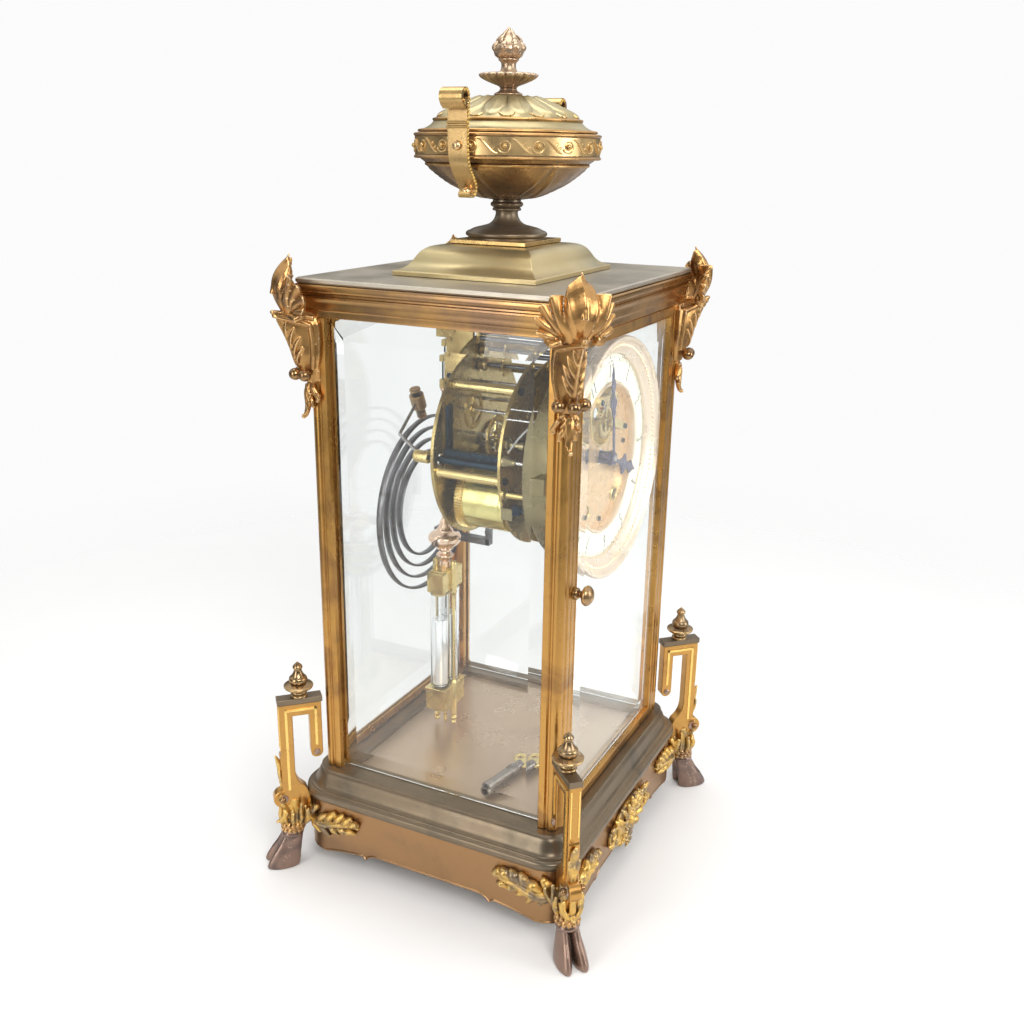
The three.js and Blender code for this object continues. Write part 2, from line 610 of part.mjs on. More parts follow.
// The point at distance ra from a and rb from b, on the side that `side` picks.
function meshPoint(a, ra, b, rb, side) {
  const [dx, dz] = [b[0] - a[0], b[1] - a[1]];
  const d = Math.hypot(dx, dz);
  const along = (ra * ra - rb * rb + d * d) / (2 * d);
  const across = side * Math.sqrt(ra * ra - along * along);
  return [a[0] + (along * dx - across * dz) / d, a[1] + (along * dz + across * dx) / d];
}
const WHEEL = {
  intermediate: { r: 13, teeth: 60, pinion: 2.4 },
  centre: { r: 17, teeth: 84, pinion: 2.5 },
  third: { r: 13, teeth: 86, pinion: 1.4 },
  escape: { r: 9.4, teeth: 30, pinion: 1.1 },
  strikeSecond: { r: 12, teeth: 60, pinion: 2.4 },
  pin: { r: 11, teeth: 60, pinion: 2 },
  warning: { r: 10, teeth: 56, pinion: 1.5 },
  fly: { pinion: 1.2 },
};
const apart = (r, pinion) => r + pinion + GAP;
ARBOR.intermediate = meshPoint(
  ARBOR.goingBarrel,
  apart(BARREL.rim, WHEEL.intermediate.pinion),
  [0, 0],
  apart(WHEEL.intermediate.r, WHEEL.centre.pinion),
  -1,
);
ARBOR.third = meshPoint(
  [0, 0],
  apart(WHEEL.centre.r, WHEEL.third.pinion),
  ARBOR.escape,
  apart(WHEEL.third.r, WHEEL.escape.pinion),
  -1,
);
const polarFrom = ([x, z], r, degrees) => {
  const angle = (degrees * Math.PI) / 180;
  return [x + r * Math.cos(angle), z + r * Math.sin(angle)];
};
ARBOR.strikeSecond = polarFrom(ARBOR.strikeBarrel, apart(BARREL.rim, WHEEL.strikeSecond.pinion), 100);
ARBOR.pin = polarFrom(ARBOR.strikeSecond, apart(WHEEL.strikeSecond.r, WHEEL.pin.pinion), 75);
ARBOR.warning = polarFrom(ARBOR.pin, apart(WHEEL.pin.r, WHEEL.warning.pinion), 98);
ARBOR.fly = polarFrom(ARBOR.warning, apart(WHEEL.warning.r, WHEEL.fly.pinion), 20);

const dialCentre = disc(DIAL.opening - GAP, [
  [0, 0, 4.2], [0, 22, 15.4], [BARREL.x, BARREL.dz, 3.4], [-BARREL.x, BARREL.dz, 3.4],
]);
addPiece('dial_centre', solid(plateY(dialCentre, -54, -53)), OLIVE, [0, 0, AXIS_Z]);

// ---------------------------------------------------------------- hands
// Half outlines along the hand: [half width, distance from the centre].
function handPlate(half, y0, y1, degrees) {
  const rightSide = half.map(([w, d]) => [w, d]);
  const leftSide = half.slice().reverse().map(([w, d]) => [-w, d]);
  return plateY(outline([...rightSide, ...leftSide]), y0, y1).rotateY((degrees * Math.PI) / 180);
}
const HAND_ANGLE = { hour: 112, minute: -7 };
const hourPlate = handPlate([
  [0.6, -5], [1.3, -4], [1.3, 14], [2.6, 17], [5.4, 20], [2.6, 23], [1.2, 25.6], [3.6, 29.6], [0.15, 38],
], -59.6, -58.8, HAND_ANGLE.hour);
const hourPipe = turnedY([[3.4, -59.6], [3.4, -26], [2.3, -26], [2.3, -59.6], [3.4, -59.6]], 16);
addPiece('hour_hand', cut(join(hourPlate, rodY(4, -59.6, -58.8)).add(solid(hourPipe)), rodY(2.3, -61, -25, 0, 0, 16)),
  BLUED, [0, 0, AXIS_Z]);
const minutePlate = handPlate([
  [0.8, -8], [1.5, -6], [1.1, 20], [2.2, 26], [4, 29], [2, 32], [0.9, 34], [2.4, 38], [0.12, 48],
], -61.2, -60.5, HAND_ANGLE.minute);
addPiece('minute_hand', cut(join(minutePlate, rodY(3.6, -61.2, -60.5)), rodY(1.9, -62, -60)), BLUED, [0, 0, AXIS_Z]);

// ---------------------------------------------------------------- movement plates
const hole = ([x, z], r) => [x, z, r];
function frontPlate() {
  const holes = [
    hole([0, 0], 4), hole(ARBOR.escape, 1.6), hole(ARBOR.pallets, 1.6),
    hole(ARBOR.goingBarrel, 3), hole(ARBOR.strikeBarrel, 3),
  ];
  const feet = [345, 195, 105].map((degrees) => {
    const [x, z] = polarFrom([0, 0], 46.8, degrees);
    return rodY(1.9, -38.2, PLATE.front[0] + 0.5, x, z, 10);
  });
  return join(plateY(disc(PLATE.r, holes), ...PLATE.front), ...feet);
}
addPiece('front_plate', frontPlate(), BRASS, [0, 0, AXIS_Z]);

function backPlate() {
  const holes = [hole(ARBOR.pallets, 1.6), hole([HAMMER.x, HAMMER.z - AXIS_Z], 2.8)];
  const pillars = [52, 128, 188, 270, 333].map((degrees) => {
    const [x, z] = polarFrom([0, 0], 44.6, degrees);
    return rodY(2.2, PLATE.front[1] + GAP, PLATE.back[0] + 0.5, x, z, 10);
  });
  return join(plateY(disc(PLATE.r, holes), ...PLATE.back), ...pillars);
}
addPiece('back_plate', backPlate(), BRASS, [0, 0, AXIS_Z]);

// ---------------------------------------------------------------- wheels
// A ring of pointed teeth.
function toothed(radius, teeth, toothHeight) {
  const points = [];
  for (let i = 0; i < teeth; i += 1) {
    const tip = (i * 2 * Math.PI) / teeth;
    const root = tip + Math.PI / teeth;
    points.push([radius * Math.cos(tip), radius * Math.sin(tip)]);
    points.push([(radius - toothHeight) * Math.cos(root), (radius - toothHeight) * Math.sin(root)]);
  }
  return outline(points);
}
// A crossed-out wheel: its fine teeth are left as a plain rim, which keeps the wheels just clear.
function crossedWheel(radius, spokes) {
  const shape = disc(radius, [], 26);
  const outer = radius - 2.6;
  const inner = 3.2;
  for (let i = 0; i < spokes; i += 1) {
    const from = (i * 2 * Math.PI) / spokes;
    const to = ((i + 1) * 2 * Math.PI) / spokes;
    const sector = new THREE.Path();
    sector.moveTo(inner * Math.cos(from + 0.35), inner * Math.sin(from + 0.35));
    sector.absarc(0, 0, outer, from + 0.09, to - 0.09, false);
    sector.lineTo(inner * Math.cos(to - 0.35), inner * Math.sin(to - 0.35));
    sector.closePath();
    shape.holes.push(sector);
  }
  return shape;
}
const FRONT_END = PLATE.front[1] + GAP; // where an arbor stops short of the front plate
const BACK_END = PLATE.back[0] - GAP;

// A wheel on its arbor. `plane` and `leaves` are [y0, y1] of the wheel and of the pinion.
function train(size, plane, leaves, arbor, shaft = 0.9, spokes = 4) {
  return join(
    plateY(crossedWheel(size.r, spokes), ...plane, 3),
    rodY(size.pinion, ...leaves, 0, 0, 8),
    rodY(shaft, ...arbor, 0, 0, 6),
  );
}
const at = ([x, z]) => [x, 0, AXIS_Z + z];
const wholeArbor = [FRONT_END, BACK_END];

function barrel() {
  const drum = turnedY([
    [0, -17.4], [BARREL.drum, -17.4], [BARREL.drum, 8], [0, 8],
  ], 28);
  const rim = plateY(toothed(BARREL.rim, BARREL.teeth, 1), 7.5, 10);
  return join(drum, rim, rodY(2.2, -52.4, BACK_END, 0, 0, 8));
}
const barrelBody = barrel();
addPiece('going_barrel', barrelBody, BRASS, at(ARBOR.goingBarrel));
addPiece('strike_barrel', barrelBody, BRASS, at(ARBOR.strikeBarrel));

addPiece('intermediate_wheel', train(WHEEL.intermediate, [11.1, 12.3], [7.4, 11.2], [6.9, BACK_END]), BRASS,
  at(ARBOR.intermediate));
addPiece('centre_wheel', train(WHEEL.centre, [-20.7, -19.7], [10.7, 12.7], [-62.4, BACK_END], 1.6), BRASS, at([0, 0]));
addPiece('third_wheel', train(WHEEL.third, [-6, -5], [-21, -19.2], wholeArbor), BRASS, at(ARBOR.third));

function escapeWheel() {
  const tips = toothed(WHEEL.escape.r, WHEEL.escape.teeth, 1.6);
  return join(
    plateY(tips, -56, -55.2),
    rodY(0.8, -57.4, -4, 0, 0, 8),
    rodY(WHEEL.escape.pinion, -7, -4, 0, 0, 10),
  );
}
addPiece('escape_wheel', escapeWheel(), BRASS, at(ARBOR.escape));

addPiece('strike_second_wheel', train(WHEEL.strikeSecond, [-19, -18.1], [7.4, 10.2], wholeArbor), BRASS,
  at(ARBOR.strikeSecond));
addPiece('pin_wheel', train(WHEEL.pin, [-6, -5], [-19.4, -17.8], wholeArbor), BRASS, at(ARBOR.pin));
addPiece('warning_wheel', train(WHEEL.warning, [6, 7], [-6.4, -4.4], wholeArbor), BRASS, at(ARBOR.warning));
addPiece('fly', join(
  rodY(0.8, ...wholeArbor, 0, 0, 8),
  rodY(WHEEL.fly.pinion, 5.6, 7.4, 0, 0, 10),
  block([-5.2, -14, -0.35], [5.2, 1, 0.35]),
), STEEL, at(ARBOR.fly));

// ---------------------------------------------------------------- escapement, pendulum and its bracket
const CRUTCH_Z = 228; // where the crutch takes the pendulum rod

function pallets() {
  const top = AXIS_Z + ARBOR.pallets[1];
  const arm = plateY(outline([[-8.2, -5.4], [-6.4, -5.6], [-2, -1.6], [2, -1.6], [6.4, -5.6], [8.2, -5.4], [2.4, 2], [-2.4, 2]]),
    -58, -57.2);
  const pins = [-7.2, 7.2].map((x) => rodY(0.8, -57.6, -55, x, -4.8, 6));
  const drop = CRUTCH_Z - top;
  return join(
    arm,
    ...pins,
    rodY(0.9, -57.8, 29.4, 0, 0, 6),
    block([-1.1, 26.6, drop], [1.1, 28.6, 1.6]),
    block([-3.6, 26.6, drop - 1.6], [3.6, 28.6, drop + 0.4]),
    block([-3.6, 28, drop - 1.6], [-2, 37.6, drop + 0.4]),
    block([2, 28, drop - 1.6], [3.6, 37.6, drop + 0.4]),
  );
}
addPiece('pallets', pallets(), STEEL, at(ARBOR.pallets));

function suspensionBracket() {
  const arm = new THREE.Shape();
  arm.moveTo(15.7, 266);
  arm.lineTo(20, 266);
  arm.lineTo(20, 262);
  arm.lineTo(31.5, 262);
  arm.lineTo(31.5, 276.4);
  arm.lineTo(37.8, 276.4);
  arm.lineTo(37.8, 283);
  arm.lineTo(15.7, 283);
  arm.closePath();
  [[27.6, 280], [29.2, 275.8], [28.4, 264.4]].forEach(([y, z]) => {
    arm.holes.push(new THREE.Path(circlePoints(y, z, 1.1)));
  });
  const plate = new THREE.ExtrudeGeometry(arm, { depth: 2, bevelEnabled: false, curveSegments: 4 });
  plate.applyMatrix4(new THREE.Matrix4().makeBasis(
    new THREE.Vector3(0, 1, 0),
    new THREE.Vector3(0, 0, 1),
    new THREE.Vector3(1, 0, 0),
  )).translate(-6.6, 0, 0);
  return join(
    plate,
    block([-6.2, 15.7, 264.6], [6, 17.4, 276]),
    block([-5, 33.2, 276.4], [3.4, 37.8, 282]),
  );
}
addPiece('suspension_bracket', suspensionBracket(), BRASS);

function pendulumFrame() {
  const rod = turned([
    [0, 158], [2.6, 158], [3.6, 159], [4.8, 160.6], [3.8, 162.4], [3.2, 164], [4.6, 165.2], [4.2, 166.6], [7.6, 168],
    [9.2, 170.6], [9, 173], [5.4, 174.6], [4.4, 176.2], [3.2, 178.4], [2.4, 181], [1.4, 183], [1.4, 257], [0, 257],
  ], 12);
  const column = (side) => turned([
    [0, 56], [1.7, 57.2], [1, 58.6], [2, 60.2], [1.1, 61.8], [1.9, 63.4], [1.9, 83.6],
    [1, 84.8], [1, 138], [1.9, 139.2], [1.9, 157], [0, 158.6],
  ], 6).translate(0, side * 5.6, 0);
  const body = join(
    rod,
    block([-2.8, -1.2, 256], [2.8, 1.2, 261]),
    block([-2, -0.3, 260], [2, 0.3, 271]),
    block([-2.8, -1.2, 270.4], [2.8, 1.2, 273.9]),
    block([-11, -5, 141], [11, 5, 153]),
    rodZ(3, 152, 159, 0, 0, 12),
    block([-12.2, -6.4, 68], [12.2, 6.4, 82]),
    turned([[0, PENDULUM.bottom], [0.9, 56.4], [0.9, 64], [2.4, 66], [2.4, 69], [0, 69]], 8),
    column(-1),
    column(1),
  );
  const wells = [-5.7, 5.7].map((x) => rodZ(5.9, 72.2, 90, x, 0, 14));
  return cut(body, ...wells);
}
addPiece('pendulum_frame', pendulumFrame(), BRASS, [0, PENDULUM.y, 0]);
const vials = join(
  ...[-5.7, 5.7].map((x) => rodZ(5.35, 72.6, 140.7, x, 0, 14)),
  block([-1.4, -1.1, 72.6], [1.4, 1.1, 75]),
);
addPiece('mercury_vials', vials, GLAZING, [0, PENDULUM.y, 0]);

// ---------------------------------------------------------------- gong and hammer
function gong() {
  const steps = 76;
  const inner = [];
  const outer = [];
  for (let i = 0; i <= steps; i += 1) {
    const turns = (GONG.turns * i) / steps;
    const angle = (GONG.start * Math.PI) / 180 - turns * 2 * Math.PI;
    const r = GONG.r0 + GONG.pitch * turns;
    inner.push(polarFrom([0, GONG.z], r - GONG.strip / 2, (angle * 180) / Math.PI));
    outer.unshift(polarFrom([0, GONG.z], r + GONG.strip / 2, (angle * 180) / Math.PI));
  }
  const coil = plateY(outline([...inner, ...outer]), GONG.y, GONG.y + GONG.width);
  return join(
    coil,
    block([12.4, 43.6, 163.6], [20.6, 50, 171.4]),
    block([15, PLATE.back[1] + GAP, 164.6], [19.6, 44, 168.6]),
    block([15, PLATE.back[1] + GAP, 164.6], [19.6, PLATE.back[1] + GAP + 2.4, 196]),
  );
}
addPiece('gong', gong(), STEEL);

function hammer() {
  const tip = [-4.3, 46.6, 239.7];
  const top = [-11.8, 46.6, 256.2];
  const along = (k) => tip.map((value, i) => value + (top[i] - value) * k);
  const elbow = [-31.5, 44, 236.4];
  const collar = [HAMMER.x, 24.5, HAMMER.z];
  return join(
    rodY(2.4, FRONT_END, BACK_END, HAMMER.x, HAMMER.z, 10),
    rodY(1.5, 13, 29, HAMMER.x, HAMMER.z, 8),
    rodY(3.2, 20, 28, HAMMER.x, HAMMER.z, 10),
    bar(0.9, collar, elbow, 6),
    bar(0.9, elbow, along(0.62), 6),
    new THREE.SphereGeometry(0.95, 6, 4).translate(...elbow),
    bar(2.7, tip, along(0.4), 10),
    bar(4, along(0.3), along(0.82), 10),
    bar(1.2, along(0.8), along(0.96), 6),
    bar(3, along(0.94), top, 10),
  );
}
addPiece('hammer', hammer(), BRASS);

// ---------------------------------------------------------------- winding key left on the floor plate
function windingKey() {
  const r = 3.2;
  const lift = FLOOR.z1 + GAP + r;
  const tube = bar(r, [-54, -20, lift], [-25, -26, lift], 14);
  const bore = bar(1.7, [-57, -19.4, lift], [-44, -22.1, lift], 4);
  const grip = plateZ(outline([[0, -3], [7, -6.4], [11, 0], [7, 6.4], [0, 3]]), -1, 1).rotateZ(0.35)
    .translate(-26.4, -25.8, FLOOR.z1 + GAP + 1.6);
  return cut(join(tube, grip), bore);
}
addPiece('winding_key', windingKey(), STEEL);

export default clock;
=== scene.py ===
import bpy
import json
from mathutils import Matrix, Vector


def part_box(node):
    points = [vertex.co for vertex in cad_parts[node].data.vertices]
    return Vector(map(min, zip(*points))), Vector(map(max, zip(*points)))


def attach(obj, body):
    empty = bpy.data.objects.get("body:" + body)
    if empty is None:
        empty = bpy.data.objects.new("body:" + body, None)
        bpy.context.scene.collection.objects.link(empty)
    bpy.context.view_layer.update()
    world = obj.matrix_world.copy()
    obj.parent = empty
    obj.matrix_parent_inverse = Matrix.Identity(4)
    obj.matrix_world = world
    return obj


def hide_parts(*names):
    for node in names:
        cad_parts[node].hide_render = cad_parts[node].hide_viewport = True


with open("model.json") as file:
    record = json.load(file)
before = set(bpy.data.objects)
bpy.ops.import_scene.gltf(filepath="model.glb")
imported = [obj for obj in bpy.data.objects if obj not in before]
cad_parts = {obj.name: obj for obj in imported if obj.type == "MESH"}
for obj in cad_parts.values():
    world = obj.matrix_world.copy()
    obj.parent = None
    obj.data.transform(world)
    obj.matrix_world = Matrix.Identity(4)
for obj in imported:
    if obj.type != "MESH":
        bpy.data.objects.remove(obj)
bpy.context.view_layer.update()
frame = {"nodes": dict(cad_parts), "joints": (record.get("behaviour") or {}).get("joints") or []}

import json
import math

import bmesh
import bpy
import numpy as np
from mathutils import Matrix, Vector

# Lengths in this file are millimetres, turned into metres when a mesh is made.
MM = 0.001
TAU = 2 * math.pi


def low(node):
    return np.array(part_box(node)[0]) / MM


def high(node):
    return np.array(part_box(node)[1]) / MM


AXES = {j["child"]: np.array(j["pos_m"]) / MM for j in frame["joints"]}


# ------------------------------------------------------------------ forms
class Form:
    """Points and faces in millimetres."""

    def __init__(self, points, faces):
        self.points = np.asarray(points, float).reshape(-1, 3)
        self.faces = [tuple(f) for f in faces]

    def __add__(self, other):
        step = len(self.points)
        moved = [tuple(i + step for i in f) for f in other.faces]
        return Form(np.vstack([self.points, other.points]), self.faces + moved)

    def at(self, x=0.0, y=0.0, z=0.0):
        return Form(self.points + (x, y, z), self.faces)

    def spun(self, degrees, axis="Z"):
        turn = np.array(Matrix.Rotation(math.radians(degrees), 3, axis))
        return Form(self.points @ turn.T, self.faces)

    def scaled(self, x=1.0, y=1.0, z=1.0):
        return Form(self.points * (x, y, z), self.faces)

    def basis(self, right, up, out, origin=(0, 0, 0)):
        """x, y and z of this form laid along three directions."""
        axes = np.array([right, up, out], float)
        return Form(self.points @ axes + np.array(origin, float), self.faces)


def total(forms):
    forms = list(forms)
    points, faces, step = [], [], 0
    for form in forms:
        points.append(form.points)
        faces += [tuple(i + step for i in f) for f in form.faces]
        step += len(form.points)
    return Form(np.vstack(points), faces)


def fair(points, steps=5):
    """A smooth line through points. A point given twice is a corner."""
    points = [np.array(p, float) for p in points]
    runs, run = [], [points[0]]
    for p in points[1:]:
        if np.allclose(p, run[-1]):
            if len(run) > 1:
                runs.append(run)
            run = [p]
        else:
            run.append(p)
    if len(run) > 1:
        runs.append(run)
    line = [points[0]]
    for run in runs:
        if len(run) == 2:
            line.append(run[1])
            continue
        ends = [2 * run[0] - run[1], *run, 2 * run[-1] - run[-2]]
        for a, b, c, d in zip(ends, ends[1:], ends[2:], ends[3:]):
            for k in range(1, steps + 1):
                t = k / steps
                line.append(0.5 * (2 * b + (c - a) * t + (2 * a - 5 * b + 4 * c - d) * t**2
                                   + (3 * b - a - 3 * c + d) * t**3))
    return np.array(line)


def skin(rings, around=True, along=False, caps=True):
    """A mesh through rows of points. around closes each row, along joins the last row to the first."""
    rings = np.asarray(rings, float)
    rows, count = rings.shape[:2]
    faces = []
    for r in range(rows if along else rows - 1):
        n = (r + 1) % rows
        for i in range(count if around else count - 1):
            j = (i + 1) % count
            faces.append((r * count + i, r * count + j, n * count + j, n * count + i))
    if caps and around and not along:
        faces.append(tuple(range(count)))
        faces.append(tuple(range((rows - 1) * count, rows * count)))
    return Form(rings.reshape(-1, 3), faces)


def lathe(profile, segments=64, relief=None):
    """Turned about Z from (radius, height) pairs; relief(angle, radius, height) moves a point outwards."""
    profile = np.asarray(profile, float)
    ring_shaped = np.allclose(profile[0], profile[-1])
    if ring_shaped:
        profile = profile[:-1]
    angles = np.arange(segments) * TAU / segments
    rings = []
    for r, z in profile:
        rr = np.full(segments, r) if relief is None else r + relief(angles, r, z)
        rings.append(np.stack([rr * np.cos(angles), rr * np.sin(angles), np.full(segments, z)], 1))
    return skin(rings, along=ring_shaped, caps=not ring_shaped)


def turned_y(profile, segments=64, relief=None):
    """Turned about Y from (radius, y) pairs."""
    return lathe(profile, segments, relief).basis((1, 0, 0), (0, 0, 1), (0, 1, 0))


def frames_along(path, closed=False):
    """Tangents and two cross directions that don't twist, for a path of points."""
    path = np.asarray(path, float)
    if closed:
        tangents = np.roll(path, -1, 0) - np.roll(path, 1, 0)
    else:
        tangents = np.gradient(path, axis=0)
    tangents /= np.linalg.norm(tangents, axis=1)[:, None]
    start = np.array([0, 0, 1.0]) if abs(tangents[0][2]) < 0.9 else np.array([1.0, 0, 0])
    side = np.cross(tangents[0], start)
    side /= np.linalg.norm(side)
    sides = []
    for t in tangents:
        side = side - t * (side @ t)
        side /= np.linalg.norm(side)
        sides.append(side)
    sides = np.array(sides)
    return tangents, sides, np.cross(sides, tangents)


def tube(path, radius, sides=10, closed=False, flat=1.0, across=None):
    """A round bar along a path. radius is one number or one per point, flat squashes the section,
    and across is the direction of its long way."""
    path = np.asarray(path, float)
    tangents, a, b = frames_along(path, closed)
    if across is not None:
        a = np.array(across, float) - tangents * (tangents @ np.array(across, float))[:, None]
        a /= np.linalg.norm(a, axis=1)[:, None]
        b = np.cross(a, tangents)
    radius = np.broadcast_to(radius, len(path))
    turn = np.arange(sides) * TAU / sides
    ring = np.cos(turn)[None, :, None] * a[:, None, :] + flat * np.sin(turn)[None, :, None] * b[:, None, :]
    return skin(path[:, None, :] + ring * radius[:, None, None], along=closed)


def ribbon(path, width, thick, across):
    """A rectangular strip along a path, wide in the direction across."""
    path = np.asarray(path, float)
    tangents, _, _ = frames_along(path)
    a = np.array(across, float) - tangents * (tangents @ np.array(across, float))[:, None]
    a /= np.linalg.norm(a, axis=1)[:, None]
    b = np.cross(a, tangents)
    width = np.broadcast_to(width, len(path))[:, None] / 2
    thick = np.broadcast_to(thick, len(path))[:, None] / 2
    corners = [path + sa * a * width + sb * b * thick for sa, sb in ((-1, -1), (1, -1), (1, 1), (-1, 1))]
    return skin(np.stack(corners, 1))


def spindle(start, end, profile, segments=20):
    """Turned about the line from start to end, from (radius, distance from start) pairs."""
    start, end = np.array(start, float), np.array(end, float)
    axis = (end - start) / np.linalg.norm(end - start)
    other = np.array([0, 0, 1.0]) if abs(axis[2]) < 0.9 else np.array([1.0, 0, 0])
    right = np.cross(other, axis)
    right /= np.linalg.norm(right)
    return lathe(profile, segments).basis(right, np.cross(axis, right), axis, start)


def rod(start, end, r, segments=16, chamfer=0.15):
    length = np.linalg.norm(np.array(end, float) - np.array(start, float))
    c = min(chamfer, r * 0.4, length * 0.3)
    return spindle(start, end, [(0, 0), (r - c, 0), (r, c), (r, length - c), (r - c, length), (0, length)],
                   segments)


def ball(centre, r, squash=(1, 1, 1), segments=16):
    turn = np.linspace(0, math.pi, segments // 2 + 1)
    form = lathe(np.stack([r * np.sin(turn), -r * np.cos(turn)], 1), segments)
    return form.scaled(*squash).at(*centre)


def cuboid(a, b):
    (x0, y0, z0), (x1, y1, z1) = a, b
    rings = [[(x0, y0, z), (x1, y0, z), (x1, y1, z), (x0, y1, z)] for z in (z0, z1)]
    return skin(rings)


def plate(loops, thick, bevel=0.12):
    """A flat plate lying on XY, centred on z = 0, from an outline and its holes, with eased edges."""
    curve = bpy.data.curves.new("plate", "CURVE")
    curve.dimensions = "2D"
    curve.fill_mode = "BOTH"
    curve.extrude = thick / 2 - bevel
    curve.bevel_depth = bevel
    curve.bevel_resolution = 0
    curve.offset = -bevel
    for loop in loops:
        spline = curve.splines.new("POLY")
        spline.points.add(len(loop) - 1)
        for point, (x, y) in zip(spline.points, loop):
            point.co = (x, y, 0, 1)
        spline.use_cyclic_u = True
    holder = bpy.data.objects.new("plate", curve)
    bpy.context.scene.collection.objects.link(holder)
    bpy.context.view_layer.update()
    mesh = bpy.data.meshes.new_from_object(holder.evaluated_get(bpy.context.evaluated_depsgraph_get()))
    points = np.array([v.co for v in mesh.vertices]).reshape(-1, 3)
    faces = [tuple(p.vertices) for p in mesh.polygons]
    bpy.data.objects.remove(holder)
    bpy.data.curves.remove(curve)
    bpy.data.meshes.remove(mesh)
    return Form(points, faces)


def plate_y(loops, y0, y1, bevel=0.12):
    """A plate drawn as (x, z) that fills y0 to y1."""
    return plate(loops, y1 - y0, bevel).basis((1, 0, 0), (0, 0, 1), (0, -1, 0), (0, (y0 + y1) / 2, 0))


def circle(x, y, r, count=48, start=0.0, end=TAU):
    turn = start + np.arange(count) * (end - start) / count
    return np.stack([x + r * np.cos(turn), y + r * np.sin(turn)], 1)


def polar(centre, r, degrees):
    angle = math.radians(degrees)
    return np.array([centre[0] + r * math.cos(angle), centre[1] + r * math.sin(angle)])


# ------------------------------------------------------------------ pieces
def piece(name, form, look, body="case", replaces=(), slot=None, bevel=0.0, angle=38, cast=0.0):
    """Makes a finished object. cast is the voxel size that melts its parts into one casting."""
    mesh = bpy.data.meshes.new(name)
    mesh.from_pydata((form.points * MM).tolist(), [], form.faces)
    bm = bmesh.new()
    bm.from_mesh(mesh)
    bmesh.ops.remove_doubles(bm, verts=bm.verts, dist=2e-6)
    bmesh.ops.dissolve_degenerate(bm, edges=bm.edges, dist=1e-7)
    bmesh.ops.recalc_face_normals(bm, faces=bm.faces)
    bm.to_mesh(mesh)
    bm.free()
    obj = bpy.data.objects.new(name, mesh)
    bpy.context.scene.collection.objects.link(obj)
    if cast:
        melt = obj.modifiers.new("melt", "REMESH")
        melt.mode = "VOXEL"
        melt.voxel_size = cast * MM
        ease = obj.modifiers.new("ease", "SMOOTH")
        ease.iterations = 3
        ease.factor = 0.5
        bpy.context.view_layer.update()
        solid = bpy.data.meshes.new_from_object(obj.evaluated_get(bpy.context.evaluated_depsgraph_get()))
        obj.modifiers.clear()
        obj.data = solid
        bpy.data.meshes.remove(mesh)
        mesh = solid
        mesh.name = name
    mesh.materials.clear()
    mesh.materials.append(look)
    mesh.shade_smooth()
    if not cast:
        mesh.set_sharp_from_angle(angle=math.radians(angle))
    if bevel:
        edge = obj.modifiers.new("edges", "BEVEL")
        edge.width = bevel * MM
        edge.segments = 2
        edge.limit_method = "ANGLE"
        edge.angle_limit = math.radians(32)
        edge.harden_normals = True
    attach(obj, body)
    if replaces:
        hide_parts(*([replaces] if isinstance(replaces, str) else replaces))
    return obj


def keep_node(node, look, bevel=0.0):
    """Shows a CAD node as it is, in a better finish."""
    obj = frame["nodes"][node]
    if obj.data.materials:
        for i in range(len(obj.data.materials)):
            obj.data.materials[i] = look
    else:
        obj.data.materials.append(look)
    if bevel:
        edge = obj.modifiers.new("edges", "BEVEL")
        edge.width = bevel * MM
        edge.segments = 2
        edge.limit_method = "ANGLE"
        edge.angle_limit = math.radians(30)


# ------------------------------------------------------------------ finishes
class Look:
    """A material's node tree, with short ways to add nodes."""

    def __init__(self, name):
        self.material = bpy.data.materials.new(name)
        self.material.use_nodes = True
        self.tree = self.material.node_tree
        self.tree.nodes.clear()
        self.out = self.node("ShaderNodeOutputMaterial")
        self.place = self.node("ShaderNodeTexCoord").outputs["Object"]

    def node(self, kind, inputs=None, **settings):
        made = self.tree.nodes.new(kind)
        for key, value in settings.items():
            setattr(made, key, value)
        for key, value in (inputs or {}).items():
            if isinstance(value, bpy.types.NodeSocket):
                self.tree.links.new(value, made.inputs[key])
            else:
                made.inputs[key].default_value = value
        return made

    def noise(self, scale, detail=4.0, rough=0.55, warp=0.0, place=None):
        inputs = {"Vector": place or self.place, "Scale": scale, "Detail": detail, "Roughness": rough,
                  "Distortion": warp}
        return self.node("ShaderNodeTexNoise", inputs).outputs["Fac"]

    def ramp(self, value, a, b, low_out=0.0, high_out=1.0):
        inputs = {"Value": value, "From Min": a, "From Max": b, "To Min": low_out, "To Max": high_out}
        return self.node("ShaderNodeMapRange", inputs, interpolation_type="SMOOTHSTEP").outputs[0]

    def times(self, a, b):
        return self.node("ShaderNodeMath", {0: a, 1: b}, operation="MULTIPLY").outputs[0]

    def mix(self, fac, a, b):
        made = self.node("ShaderNodeMix", data_type="RGBA")
        for socket, value in ((made.inputs[0], fac), (made.inputs[6], a), (made.inputs[7], b)):
            if isinstance(value, bpy.types.NodeSocket):
                self.tree.links.new(value, socket)
            else:
                socket.default_value = value
        return made.outputs[2]

    def stretched(self, x, y, z):
        return self.node("ShaderNodeMapping", {"Vector": self.place, "Scale": (x, y, z)}).outputs[0]

    def finish(self, shader):
        self.tree.links.new(shader, self.out.inputs["Surface"])
        return self.material


def rgb(r, g, b):
    return (r, g, b, 1.0)


